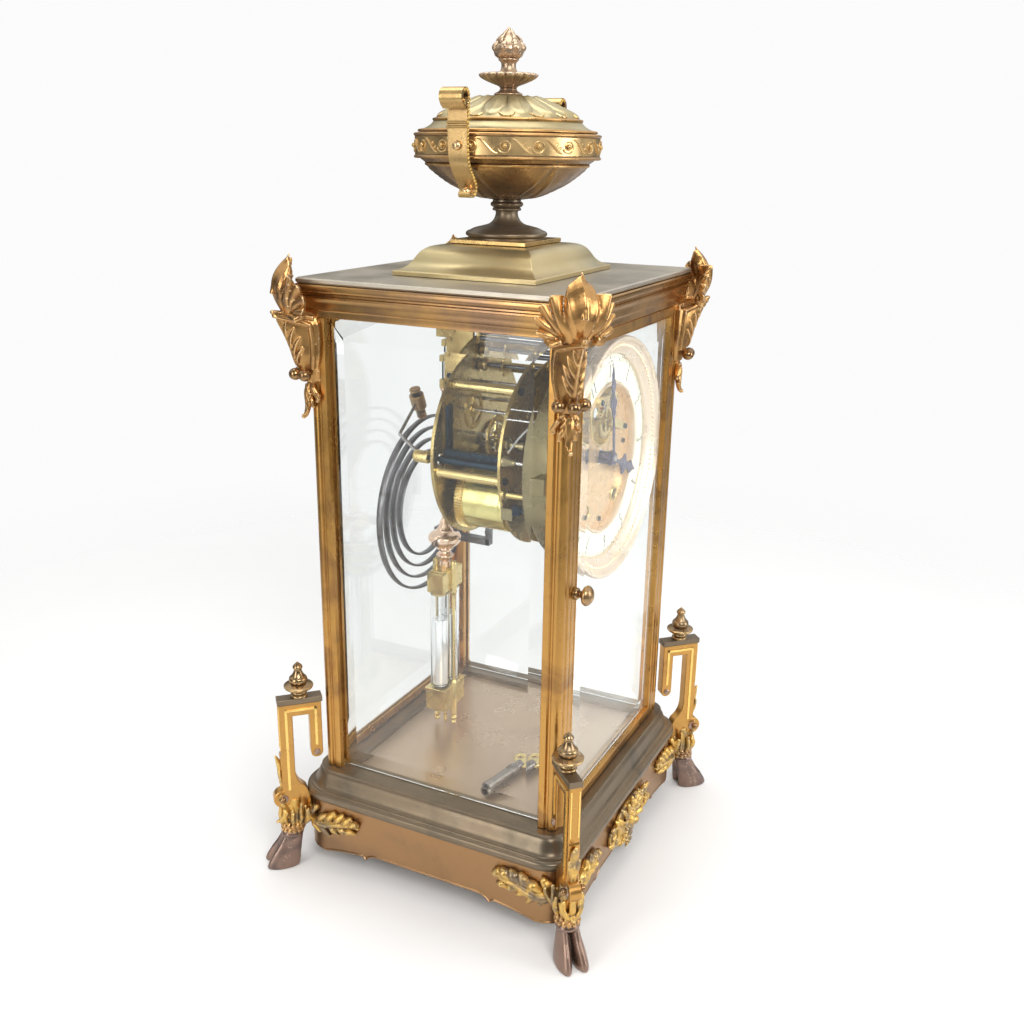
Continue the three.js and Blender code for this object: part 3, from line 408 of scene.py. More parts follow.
def metal(name, base, patina, amount=0.5, size=60.0, grime_and_shade=rgb(0.03, 0.024, 0.015), crevice_grime_and_shade=0.0, edge=0.0,
          edge_wear_and_highlight=rgb(0.9, 0.7, 0.36), residue=0.0, rough=(0.22, 0.42), grain=0.03, brushed=None, share=1.0):
    """Aged metal: a base colour under cloudy patina, hollows darkened by dirt and painted shade, edges
    lightened by wear and a painted highlight, pale dust in the deepest corners, and a roughness and grain
    that vary over the surface."""
    look = Look(name)
    cloud = look.noise(size, 7.0, 0.6, 0.7)
    speck = look.noise(size * 9, 3.0, 0.6)
    colour = look.mix(look.ramp(cloud, 0.62 - 0.3 * amount, 0.78 - 0.22 * amount), base, patina)
    colour = look.mix(look.ramp(speck, 0.52, 0.8, 0.0, 0.35), colour, patina)
    shine = look.ramp(look.noise(size * 2.3, 5.0), 0.3, 0.7, rough[0], rough[1])
    metallic = None
    if crevice_grime_and_shade or edge or residue:
        point = look.node("ShaderNodeNewGeometry").outputs["Pointiness"]
        # Darker colour in hollows, found by pointiness: partly dirt, partly painted shade.
        if crevice_grime_and_shade:
            colour = look.mix(look.ramp(point, 0.497, 0.455, 0.0, crevice_grime_and_shade), colour, grime_and_shade)
        # Lighter colour on convex edges, found by pointiness: partly worn gilding, partly a painted
        # highlight.
        if edge:
            colour = look.mix(look.ramp(point, 0.51, 0.56, 0.0, edge), colour, edge_wear_and_highlight)
        if residue:
            dust = look.times(look.ramp(point, 0.472, 0.43),
                              look.ramp(look.noise(size * 1.7, 4.0), 0.5, 0.6, 0.0, residue))
            colour = look.mix(dust, colour, rgb(0.74, 0.72, 0.62))
            metallic = look.ramp(dust, 0.0, 0.7, share, 0.1)
    if brushed:
        lines = look.noise(1.0, 3.0, 0.6, 0.0, look.stretched(*brushed))
    else:
        lines = look.noise(size * 22, 3.0, 0.65)
    bump = look.node("ShaderNodeBump", {"Height": lines, "Strength": grain * 4, "Distance": 0.0002})
    dent = look.node("ShaderNodeBump", {"Height": look.noise(size * 3.1, 3.0), "Strength": grain * 3,
                                        "Distance": 0.001, "Normal": bump.outputs[0]})
    shader = look.node("ShaderNodeBsdfPrincipled",
                       {"Base Color": colour, "Roughness": shine, "Metallic": share,
                                                    "Normal": dent.outputs[0]})
    if metallic is not None:
        look.tree.links.new(metallic, shader.inputs["Metallic"])
    return look.finish(shader.outputs[0])


def glass(name, tint, ior=1.5, clear=1.0):
    """Glass that lets lamp light through; clear below one leaves a white haze on it, a painted reflection."""
    look = Look(name)
    smear = look.noise(14.0, 5.0, 0.6, 0.8)
    bump = look.node("ShaderNodeBump", {"Height": look.noise(22.0, 2.0), "Strength": 0.02,
                                        "Distance": 0.0005})
    # Transmission below one leaves a white diffuse share on the glass: a painted reflection.
    shader = look.node("ShaderNodeBsdfPrincipled", {
        "Base Color": look.mix(look.ramp(smear, 0.4, 0.8), tint, rgb(*[0.985 * c for c in tint[:3]])),
        "Roughness": 0.0, "IOR": ior, "Transmission Weight": clear, "Normal": bump.outputs[0]})
    clear = look.node("ShaderNodeBsdfTransparent", {"Color": tint})
    shadow = look.node("ShaderNodeLightPath").outputs["Is Shadow Ray"]
    mixed = look.node("ShaderNodeMixShader", {0: shadow, 1: shader.outputs[0], 2: clear.outputs[0]})
    return look.finish(mixed.outputs[0])


def painted(name, colour, tone, size, rough, relief=0.1, coat=0.0):
    look = Look(name)
    cloud = look.mix(look.ramp(look.noise(size, 5.0, 0.6, 0.4), 0.35, 0.7), colour, tone)
    bump = look.node("ShaderNodeBump", {"Height": look.noise(size * 12, 2.0), "Strength": relief,
                                        "Distance": 0.0001})
    shader = look.node("ShaderNodeBsdfPrincipled", {
        "Base Color": cloud, "Roughness": look.ramp(look.noise(size * 2, 3.0), 0.3, 0.7, rough[0], rough[1]),
        "Coat Weight": coat, "Coat Roughness": 0.08, "Normal": bump.outputs[0]})
    return look.finish(shader.outputs[0])


# Metals below with darkened hollows and lightened edges carry painted shade and painted highlights there, on
# top of dirt and wear.
GILT = metal("gilt_brass", rgb(0.58, 0.315, 0.09), rgb(0.36, 0.19, 0.07), 0.35, 26.0, rough=(0.24, 0.38),
             edge_wear_and_highlight=rgb(0.95, 0.66, 0.28), edge=0.0, grain=0.02, share=0.97)
BAND = metal("gilt_band", rgb(0.60, 0.34, 0.12), rgb(0.38, 0.21, 0.09), 0.5, 60.0, crevice_grime_and_shade=0.75, edge=0.5,
             residue=0.6, rough=(0.26, 0.42), share=0.9)
PLINTH = metal("gilt_plinth", rgb(0.38, 0.22, 0.105), rgb(0.27, 0.165, 0.095), 0.4, 12.0, rough=(0.28, 0.42),
               grain=0.012, share=0.95)
LEAF = metal("leaf_gilding", rgb(0.56, 0.31, 0.11), rgb(0.30, 0.165, 0.08), 0.45, 50.0,
             grime_and_shade=rgb(0.10, 0.055, 0.03),
             crevice_grime_and_shade=0.85, edge=0.7, edge_wear_and_highlight=rgb(0.98, 0.72, 0.40), residue=1.0, rough=(0.24, 0.4), share=0.93)
MOUNT = metal("mount_gilding", rgb(0.70, 0.44, 0.12), rgb(0.24, 0.18, 0.12), 0.62, 80.0,
              grime_and_shade=rgb(0.06, 0.045, 0.035),
              crevice_grime_and_shade=0.9, edge=0.6, edge_wear_and_highlight=rgb(0.98, 0.74, 0.30), residue=0.5, rough=(0.28, 0.46),
              share=0.85)
BRONZE = metal("dark_bronze", rgb(0.215, 0.165, 0.11), rgb(0.15, 0.125, 0.09), 0.4, 20.0, rough=(0.3, 0.46),
               grain=0.015, share=0.8)
BERRY = metal("berry_bronze", rgb(0.34, 0.20, 0.09), rgb(0.16, 0.11, 0.07), 0.4, 80.0, rough=(0.16, 0.3),
              share=0.9)
BROWN = metal("brown_bronze", rgb(0.36, 0.23, 0.12), rgb(0.22, 0.145, 0.09), 0.45, 50.0, crevice_grime_and_shade=0.8,
              edge=0.5,
              edge_wear_and_highlight=rgb(0.9, 0.62, 0.22), rough=(0.22, 0.38), share=0.85)
OLIVE = metal("olive_brass", rgb(0.44, 0.37, 0.20), rgb(0.34, 0.30, 0.19), 0.4, 24.0, crevice_grime_and_shade=0.6, edge=0.35,
              residue=0.5, rough=(0.28, 0.44), grain=0.02, share=0.8)
SATIN = metal("satin_plate", rgb(0.46, 0.34, 0.235), rgb(0.36, 0.26, 0.18), 0.4, 12.0, rough=(0.26, 0.36),
              grain=0.001, share=0.75)
CORNICE = metal("cornice_gilding", rgb(0.51, 0.295, 0.11), rgb(0.30, 0.185, 0.115), 0.45, 14.0,
                rough=(0.24, 0.38), grain=0.015, share=0.96)
SLAB = metal("satin_slab", rgb(0.54, 0.49, 0.40), rgb(0.43, 0.38, 0.31), 0.4, 12.0, rough=(0.3, 0.44),
             grain=0.01, share=0.8)
BRASS = metal("polished_brass", rgb(0.66, 0.52, 0.23), rgb(0.48, 0.35, 0.14), 0.35, 40.0, rough=(0.16, 0.3),
              grain=0.012, share=0.88)
PLATE_BRASS = metal("plate_brass", rgb(0.47, 0.36, 0.15), rgb(0.32, 0.24, 0.10), 0.45, 40.0,
                    rough=(0.18, 0.32), grain=0.012, share=0.92)
KEY_METAL = metal("key_metal", rgb(0.30, 0.265, 0.235), rgb(0.20, 0.175, 0.155), 0.4, 60.0, rough=(0.24, 0.4),
                  share=0.9)
DRUM = metal("barrel_brass", rgb(0.68, 0.62, 0.26), rgb(0.56, 0.47, 0.19), 0.3, 36.0, rough=(0.12, 0.24),
             grain=0.02,
             brushed=(300, 9000, 300), share=0.92)
ROSE = metal("rose_brass", rgb(0.80, 0.58, 0.42), rgb(0.58, 0.38, 0.25), 0.3, 60.0, rough=(0.12, 0.24),
             grain=0.01, share=0.97)
TURNED = metal("turned_bronze", rgb(0.40, 0.27, 0.14), rgb(0.26, 0.19, 0.12), 0.45, 60.0, crevice_grime_and_shade=0.6,
               edge=0.5,
               edge_wear_and_highlight=rgb(0.92, 0.64, 0.26), rough=(0.22, 0.38), share=0.95)
COPPERY = metal("dial_middle", rgb(0.74, 0.50, 0.27), rgb(0.55, 0.36, 0.18), 0.4, 40.0, rough=(0.2, 0.34),
                grain=0.01, share=0.8)
PALE = metal("pale_gilding", rgb(0.78, 0.63, 0.49), rgb(0.64, 0.48, 0.30), 0.4, 45.0, crevice_grime_and_shade=0.5, edge=0.3,
             rough=(0.24, 0.4), share=0.8)
PAN = metal("pan_brass", rgb(0.27, 0.225, 0.12), rgb(0.19, 0.155, 0.095), 0.4, 30.0, rough=(0.2, 0.34),
            grain=0.015, share=0.85)
INLAY = metal("inlay_gilding", rgb(0.95, 0.66, 0.20), rgb(0.7, 0.44, 0.14), 0.3, 60.0, rough=(0.18, 0.32),
              share=0.8)
STEEL = metal("grey_steel", rgb(0.17, 0.17, 0.18), rgb(0.10, 0.095, 0.095), 0.5, 60.0, rough=(0.28, 0.5),
              share=0.9)
BRIGHT_STEEL = metal("bright_steel", rgb(0.46, 0.45, 0.44), rgb(0.3, 0.28, 0.26), 0.4, 90.0,
                     rough=(0.16, 0.3), share=0.9)
BLUED = metal("blued_steel", rgb(0.012, 0.027, 0.042), rgb(0.014, 0.018, 0.03), 0.5, 60.0, rough=(0.16, 0.3),
              share=0.9)
HAND = metal("hand_steel", rgb(0.06, 0.055, 0.15), rgb(0.03, 0.03, 0.07), 0.4, 90.0, rough=(0.2, 0.34),
             share=0.9)
COPPER = metal("hoof_copper", rgb(0.30, 0.20, 0.155), rgb(0.17, 0.125, 0.11), 0.5, 40.0, crevice_grime_and_shade=0.8,
               grime_and_shade=rgb(0.04, 0.035, 0.035), edge=0.35, edge_wear_and_highlight=rgb(0.72, 0.54, 0.42), rough=(0.24, 0.4),
               share=0.85)
SILVER = metal("finial_gilding", rgb(0.50, 0.36, 0.24), rgb(0.34, 0.23, 0.16), 0.4, 50.0, crevice_grime_and_shade=0.8,
               edge=0.45,
               edge_wear_and_highlight=rgb(0.9, 0.72, 0.52), residue=0.4, rough=(0.28, 0.42), grain=0.01, share=0.85)
MERCURY = metal("mercury", rgb(0.84, 0.85, 0.87), rgb(0.74, 0.76, 0.79), 0.3, 30.0, rough=(0.1, 0.18),
                grain=0.0, share=0.6)
PANE = glass("pane_glass", rgb(0.975, 0.99, 0.985))
# The door glass's white haze stands in for a reflection over the dial: a painted reflection.
DOOR_PANE = glass("door_glass", rgb(0.965, 0.985, 0.975), 1.14, 0.95)
VIAL = glass("vial_glass", rgb(0.985, 0.99, 0.99))
ENAMEL = painted("cream_enamel", rgb(0.84, 0.82, 0.68), rgb(0.79, 0.76, 0.60), 30.0, (0.16, 0.3), 0.05, 0.4)
INK = painted("dial_ink", rgb(0.035, 0.035, 0.045), rgb(0.06, 0.06, 0.07), 60.0, (0.3, 0.5))

# ------------------------------------------------------------------ case dimensions from the frame
CORNERS = [("front_left", -1, -1), ("front_right", 1, -1), ("back_left", -1, 1), ("back_right", 1, 1)]
HALF_W = high("corner_post_front_right")[0]
HALF_D = high("corner_post_back_right")[1]
ROUND = 6.0


def perimeter(half_x, half_y, radius, corner_steps=10, side_steps=1):
    """Points anticlockwise round a rounded rectangle, with each side cut into side_steps."""
    points = []
    corners = [(1, 1), (-1, 1), (-1, -1), (1, -1)]
    for quarter, (sx, sy) in enumerate(corners):
        centre = np.array([sx * (half_x - radius), sy * (half_y - radius)])
        for i in range(corner_steps + 1):
            angle = (quarter + i / corner_steps) * math.pi / 2
            points.append(centre + radius * np.array([math.cos(angle), math.sin(angle)]))
        nx, ny = corners[(quarter + 1) % 4]
        angle = (quarter + 1) * math.pi / 2
        target = np.array([nx * (half_x - radius), ny * (half_y - radius)]) + radius * np.array(
            [math.cos(angle), math.sin(angle)])
        for k in range(1, side_steps):
            start = centre + radius * np.array([math.cos(angle), math.sin(angle)])
            points.append(start + (target - start) * k / side_steps)
    return np.array(points)


def moulding(profile, sharpness, corner_steps=10):
    """A closed profile of (offset outside the posts, height) run round the case."""
    rings = []
    for offset, z in profile:
        ring = perimeter(HALF_W + offset, HALF_D + offset, max(offset + sharpness, 0.4), corner_steps)
        rings.append(np.column_stack([ring, np.full(len(ring), z)]))
    return skin(rings, along=True)


# ------------------------------------------------------------------ plinth
APRON_BASE = 9.4


def apron_height(s, half):
    """Height of the plinth's lower edge at s from the middle of a side."""
    shoulder, step, middle = 13.2, 11.6, 15.0
    ledge, rise = 1.6, 7.4
    foot, cusp = half - 17, half - 40
    s = abs(s)
    if s >= foot:
        return APRON_BASE
    if s >= cusp:
        t = (foot - s) / (foot - cusp)
        start = APRON_BASE + 0.2
        return start + (shoulder - start) * (1.6 * t - 0.6 * t * t)
    if s >= cusp - ledge:
        return shoulder - (cusp - s)
    if s >= cusp - ledge - rise:
        t = (cusp - ledge - s) / rise
        return step + (middle - step) * (2 * t - t * t)
    return middle


def plinth():
    offset, wall, top = 10.5, 7.0, high("base_plinth")[2]
    outer = perimeter(HALF_W + offset, HALF_D + offset, offset + ROUND, 10, 90)
    rings = []
    for inset, up in ((0.5, 0.0), (0.0, 0.6), (0.0, 1.0), (0.45, 1.5), (0.0, 2.0), (0.0, None), (0.6, None),
                      (wall, None), (wall, 0.0)):
        shrunk = perimeter(HALF_W + offset - inset, HALF_D + offset - inset, offset + ROUND - inset, 10, 90)
        ring = []
        for (x, y), (ox, oy) in zip(shrunk, outer):
            on_x = abs(oy) > HALF_D + offset - 0.5
            s, half = (ox, HALF_W + offset) if on_x else (oy, HALF_D + offset)
            edge = apron_height(s, half) if (on_x or abs(ox) > HALF_W + offset - 0.5) else APRON_BASE
            if up is None:
                z = top - (0.6 if inset == 0.0 else 0.0)
            else:
                z = edge + up
            ring.append((x, y, z))
        rings.append(ring)
    return skin(rings, along=True)


piece("plinth", plinth(), PLINTH, replaces="base_plinth", slot="gilt_brass", angle=30)

mould_low, mould_top = low("base_moulding")[2], high("base_moulding")[2]
piece("plinth_moulding", moulding(fair([
    (-16, mould_low), (-16, mould_low), (11.5, mould_low), (11.5, mould_low), (12.3, mould_low + 0.5),
    (12.8, 43.4),
    (12.6, 45.2), (11.5, 46.2), (10.7, 46.5), (10.7, 46.5), (10.5, 47.1), (10.5, 47.1), (9.3, 47.5),
    (8.0, 48.9),
    (6.9, 51.2), (5.9, 53.6), (5.1, 54.9), (5.1, 54.9), (4.5, 55.4), (4.5, 55.4), (4.5, mould_top),
    (4.5, mould_top),
    (-12, mould_top), (-12, mould_top), (-12, 43.2), (-12, 43.2), (-16, 43.2), (-16, 43.2),
]), ROUND, 12), BRONZE, replaces="base_moulding", slot="dark_bronze", angle=28)

keep_node("floor_plate", SATIN, 0.4)


# ------------------------------------------------------------------ posts, cornice, top
def post_form(sx, sy):
    """A post's section swept up, with a bead on its outer corner between two fillets."""
    arc = [(10 - 3.4 + 3.4 * math.cos(a), 10 - 3.4 + 3.4 * math.sin(a)) for a in np.linspace(-0.3,
        math.pi / 2 + 0.3, 14)]
    section = [(0.3, 0), (3, 0), (3, 2.5), (7, 2.5), (7, 0), (9.7, 0), (10, 0.3), (10, 3.2), (9.7, 3.6),
               (9, 4.1), (9, 5),
               *arc, (5, 9), (4.1, 9), (3.6, 9.7), (3.2, 10), (0.3, 10), (0, 9.7), (0, 0.3)]
    section = (np.array(section) - 10) * (sx, sy) + (sx * HALF_W, sy * HALF_D)
    z0, z1 = low("corner_post_back_right")[2], high("corner_post_back_right")[2]
    return skin([np.column_stack([section, np.full(len(section), z)]) for z in (z0, z1)])


for side, sx, sy in CORNERS:
    piece(f"post_{side}", post_form(sx, sy), GILT, replaces=f"corner_post_{side}", slot="gilt_brass",
          bevel=0.12)

cornice_low, cornice_top = low("cornice")[2], high("cornice")[2]
piece("cornice_moulding", moulding(fair([
    (-12, cornice_low), (-12, cornice_low), (0.8, cornice_low), (0.8, cornice_low), (1.0, cornice_low + 0.3),
    (1.0, cornice_low + 0.3), (1.0, 303.2), (1.0, 303.2), (1.3, 303.9), (1.9, 304.4), (1.9, 304.4),
    (2.0, 305.2),
    (2.2, 307.4), (2.8, 309.0), (3.2, 309.5), (3.2, 309.5), (3.2, 310.3), (3.2, 310.3), (2.4, 310.7),
    (2.4, 310.7),
    (2.4, 311.5), (2.4, 311.5), (3.6, 311.9), (4.5, 312.7), (4.8, 313.8), (4.6, 315.0), (4.0, cornice_top),
    (4.0, cornice_top), (-12, cornice_top), (-12, cornice_top),
]), -1.5, 4), CORNICE, replaces="cornice", slot="gilt_brass", angle=28)
keep_node("top_plate", SLAB, 0.25)


def dome():
    rise = fair([(46, 318.9), (46, 318.9), (46, 320.6), (46, 320.6), (45.4, 321.1), (43.2, 321.6),
                 (40.4, 322.7),
                 (37.8, 324.7), (35.6, 327.6), (33.2, 330.1), (29.8, 331.8), (25.4, 332.6), (21.2, 332.8)], 4)
    rings = []
    for half, z in rise:
        narrower = 7.6 * (half - 20) / 26
        ring = perimeter(half, half - narrower, 0.5, 3)
        rings.append(np.column_stack([ring, np.full(len(ring), z)]))
    return skin(rings)


piece("dome", dome(), OLIVE, replaces="dome_base", slot="olive_brass", angle=30)

# ------------------------------------------------------------------ urn
URN_SEGMENTS = 288
pedestal = cuboid((-20.9, -20.5, 333.1), (20.9, 20.5, 335.1))
pedestal_turned = lathe(fair([
    (0, 334.4), (18.4, 334.4), (18.4, 334.4), (18.9, 334.8), (19.0, 335.6), (18.9, 335.9), (18.9, 335.9),
    (19.8, 336.4),
    (20.3, 337.1), (20.1, 338.1), (19.2, 338.8), (19.2, 338.8), (18.6, 338.9), (18.6, 338.9), (16.2, 340.1),
    (12.4, 341.1), (9.2, 342.0), (7.2, 343.4), (6.0, 345.2), (5.5, 347.0), (5.6, 348.3), (5.6, 348.3),
    (6.9, 348.6),
    (7.1, 349.3), (6.5, 350.0), (6.5, 350.0), (7.4, 350.4), (8.1, 351.3), (7.8, 352.3), (7.0, 352.8),
    (7.0, 352.8),
    (7.0, 353.6), (7.0, 353.6), (0, 353.6)], 4), 72)
piece("urn_foot_plate", pedestal, BROWN, slot="dark_bronze", bevel=0.3)
piece("urn_foot", pedestal_turned, BRONZE, replaces="urn_pedestal", slot="dark_bronze", angle=30)


def bowl_relief(angles, r, z):
    """Broad leaves on the under side of the bowl, each with a raised rim and a hollow middle."""
    if not 9.5 < r < 41.0 or z > 371.5 or z < 353.95:
        return 0 * angles
    share = (r - 9.5) / 31.5
    sector = TAU / 6
    local = (angles + math.radians(60)) % sector / sector * 2 - 1
    width = 0.30 + 0.66 * share**0.8
    rim = np.exp(-(((np.abs(local) - width) / 0.055) ** 2))
    vein = np.exp(-((local / 0.05) ** 2)) * (share < 0.85)
    inside = (np.abs(local) < width) * 0.35
    fade = min(1.0, 6 * share, 8 * (1 - share))
    return (0.9 * rim + 0.25 * vein + inside) * fade


bowl = lathe(fair([
    (0, 353.9), (8.6, 353.9), (8.6, 353.9), (10.5, 354.2), (13.6, 354.7), (18.0, 356.2), (22.6, 358.3),
    (28.2, 361.2),
    (33.1, 364.6), (36.9, 367.7), (38.9, 369.4), (38.9, 369.4), (39.7, 369.5), (40.0, 370.1), (39.6, 370.6),
    (39.6, 370.6), (41.2, 371.6), (42.6, 372.6), (42.6, 372.6), (43.8, 372.6), (45.0, 372.9), (45.4, 373.5),
    (45.0, 374.2),
    (45.0, 374.2), (44.6, 374.5), (44.6, 374.5), (44.6, 382.5), (44.6, 382.5), (45.1, 382.8), (45.4, 383.4),
    (45.0, 384.1),
    (43.8, 384.4), (43.8, 384.4), (41.6, 384.4), (41.6, 384.4), (41.6, 376.4), (38, 372.6), (31.6, 367.6),
    (22, 361.2),
    (12, 357.4), (0, 357)], 4), URN_SEGMENTS, bowl_relief)
piece("urn_bowl_shell", bowl, BROWN, replaces="urn_bowl", slot="dark_bronze", angle=45)
band = lathe([(44.3, 374.4), (44.95, 374.5), (44.95, 382.5), (44.3, 382.6)], 144)
rings = lathe(fair([(44.2, 374.3), (44.9, 373.9), (45.55, 373.5), (45.2, 372.8), (44.2, 372.6)]), 144) + \
    lathe(fair([(44.2, 382.6), (44.9, 382.8), (45.55, 383.4), (45.2, 384.1), (44.2, 384.35)]), 144) + \
    lathe(fair([(38.6, 369.2), (39.6, 369.2), (40.25, 370.1), (39.5, 370.8), (38.6, 370.8)]), 144)
piece("urn_band", band + rings, BAND, slot="gilt_brass", angle=40)


def on_band(turn, z, out=0.0):
    r = 44.95 + out
    return np.stack([r * np.cos(turn), r * np.sin(turn), np.broadcast_to(z, np.shape(turn))], -1)


def band_scrolls():
    """Running scrolls round the band: a curl about each stud and a leaf sweeping to the next."""
    forms = []
    count = 18
    for k in range(count):
        middle = k * TAU / count + math.radians(5)
        t = np.linspace(0, 1, 26)
        turn = math.radians(200) + t * math.radians(500)
        reach = 3.3 - 2.0 * t
        forms.append(tube(on_band(middle + reach * np.cos(turn) / 45, 378.5 + reach * np.sin(turn) * 0.95,
                                  0.1),
                          0.42 * (1 - 0.5 * t), 6))
        sweep = np.linspace(0, 1, 16)
        path = on_band(middle + (3.0 + 9.6 * sweep) / 45, 378.5 + 3.1 * np.cos(math.pi * sweep), 0.1)
        forms.append(tube(path, 0.25 + 0.42 * np.sin(math.pi * sweep), 6))
        for j in (0.3, 0.5, 0.7):
            start = (3.0 + 9.6 * j) / 45
            lift = 3.1 * math.cos(math.pi * j)
            twig = np.linspace(0, 1, 6)
            forms.append(tube(on_band(middle + start + 2.0 * twig / 45,
                                      378.5 + lift + (1.7 if j > 0.4 else -1.7) * twig, 0.1),
                              0.4 * np.sin(0.4 + 2.6 * twig) + 0.1, 6))
    return total(forms)


piece("urn_band_scrolls", band_scrolls(), BAND, slot="gilt_brass")
studs = total(ball(on_band(np.float64(k * TAU / 18 + math.radians(5)), 378.5, 0.5), 1.15,
                   segments=14) for k in range(18))
piece("urn_band_studs", studs, BROWN, slot="dark_bronze")


def lid_relief(angles, r, z):
    """Rounded petals that overlap round the crown of the lid."""
    if r < 12.4 or r > 34.6 or z < 390.0:
        return 0 * angles
    share = (r - 12.4) / 22.2
    count = 14
    local = np.abs((angles * count / TAU) % 1 - 0.5) * 2
    tip = 1 - 0.5 * np.clip(local, 0, 1) ** 2.2
    inside = 1 / (1 + np.exp((share - tip * 0.97) * 46))
    seam = np.exp(-(((local - 1.0) / 0.10) ** 2))
    rib = np.exp(-((local / 0.09) ** 2))
    return (1.15 * (1 - 0.45 * local**2) * inside - 0.5 * seam * inside + 0.25 * rib * inside) \
        * min(1.0, share * 9)


lid = fair([(41.2, 384.7), (41.2, 384.7), (43.0, 384.8), (43.1, 385.3), (42.6, 385.8), (42.6, 385.8),
            (41.4, 386.1),
            (39.4, 386.8), (37.2, 388.2), (35.8, 389.7), (35.8, 389.7), (36.1, 390.3), (35.6, 390.9),
            (34.7, 391.1),
            (34.7, 391.1), (31.2, 393.2), (27, 395.1), (22, 397.3), (17, 399.3), (13.2, 400.7), (8.6, 401.5),
            (0, 401.6)], 5)


def lifted(profile, segments, relief):
    """A turned form whose relief moves points along the profile's own normal."""
    slope = np.gradient(profile, axis=0)
    normal = np.stack([slope[:, 1], -slope[:, 0]], 1)
    normal /= np.maximum(np.linalg.norm(normal, axis=1), 1e-9)[:, None]
    angles = np.arange(segments) * TAU / segments
    rows = []
    for (r, z), (nr, nz) in zip(profile, normal):
        out = relief(angles, r, z)
        rr = r + nr * out
        rows.append(np.stack([rr * np.cos(angles), rr * np.sin(angles), z + nz * out], 1))
    return skin(rows, caps=False)


lid_under = lathe(fair([(41.2, 384.7), (37.4, 385.4), (32.8, 389.9), (22, 395), (12.4, 398.8), (0, 399.4)]),
                  URN_SEGMENTS)
piece("urn_lid_shell", lifted(lid, URN_SEGMENTS, lambda a, r, z: lid_relief(a, r, z)) + lid_under, OLIVE,
      replaces="urn_lid",
      slot="olive_brass", angle=60)
petal_edges = []
for k in range(14):
    t = np.linspace(-1, 1, 21)
    turn = (k + t / 2) * TAU / 14
    share = (1 - 0.5 * np.abs(t) ** 2.2) * 0.99
    r = 12.4 + 22.2 * share
    z = np.interp(r, lid[::-1, 0], lid[::-1, 1]) + 0.35
    petal_edges.append(tube(np.stack([r * np.cos(turn), r * np.sin(turn), z], 1), 0.38, 6))
lid_rings = lathe(fair([(41.0, 384.6), (43.3, 384.75), (43.5, 385.3), (42.9, 385.9), (41.0, 386.0)]), 144) + \
    lathe(fair([(34.2, 390.4), (35.4, 389.5), (36.4, 390.2), (36.0, 391.0), (34.4, 391.2)]), 144)
piece("urn_lid_edges", total(petal_edges) + lid_rings, BAND, slot="gilt_brass")


def skirt_relief(angles, r, z):
    if not 404.8 < z < 412.6 or r < 5:
        return 0 * angles
    lobe = np.abs(np.sin(angles * 9))
    return (lobe**0.6 - 0.7) * 1.25 * min(1.0, (r - 5) / 7)


skirt = lathe(fair([(0, 401.7), (6.6, 401.7), (6.6, 401.7), (6.9, 402.3), (6.0, 402.9), (4.6, 403.6),
                    (3.9, 404.9),
                    (3.9, 404.9), (5.0, 405.9), (8.4, 407.2), (12.4, 409.1), (13.9, 410.4), (13.7, 411.2),
                    (12.2, 411.6),
                    (9.0, 411.0), (5.4, 411.2), (4.2, 412.4), (3.5, 414.2), (3.6, 416.0), (4.4, 417.0),
                    (4.4, 417.0),
                    (4.9, 417.4), (4.7, 418.0), (4.0, 418.2), (0, 418.2)], 4), 144, skirt_relief)
piece("urn_finial_skirt", skirt, SILVER, replaces="urn_finial", slot="olive_brass", angle=50)


def finger(path, radii, flat=0.6, across=None, sides=8, steps=4):
    """A rounded finger of ornament through a few points, with a radius at each."""
    line = fair(path, steps)
    keys = np.linspace(0, 1, len(radii))
    radius = np.interp(np.linspace(0, 1, len(line)), keys, radii)
    return tube(line, radius, sides, flat=flat, across=across)


def bud():
    """Overlapping leaves closing on a pointed tip."""
    body = lathe(fair([(0, 417.8), (4.2, 418.2), (6.4, 419.6), (7.3, 421.4), (6.9, 423.4), (5.4, 425.6),
                       (3.4, 427.6),
                       (1.8, 429.8), (0, 431.2)]), 48)
    leaves = []
    for row, (count, z0, r0, rise, width, shift) in enumerate([
            (7, 418.2, 4.6, 5.6, 1.9, 0.0), (7, 420.6, 6.2, 5.4, 1.9, 0.5), (5, 423.4, 5.0, 5.4, 1.6, 0.2),
            (4, 426.4, 2.7, 4.6, 1.1, 0.6)]):
        for k in range(count):
            turn = (k + shift) * TAU / count
            out = np.array([math.cos(turn), math.sin(turn), 0])
            side = np.array([-math.sin(turn), math.cos(turn), 0])
            reach = [r0, r0 + 1.5 - 0.35 * row, max(r0 - 0.9 * row * 0.6, 0.8)]
            path = [out * reach[0] + (0, 0, z0), out * reach[1] + side * 0.5 + (0, 0, z0 + rise * 0.45),
                    out * reach[2] * 0.86 + side * 0.8 + (0, 0, z0 + rise)]
            leaves.append(finger(path, [0.7, width, width * 0.9, 0.35], 0.55, side))
    return body + total(leaves) + ball((0, 0, 430.4), 1.1, (1, 1, 1.4))


piece("urn_finial_bud", bud(), SILVER, slot="olive_brass", cast=0.22)


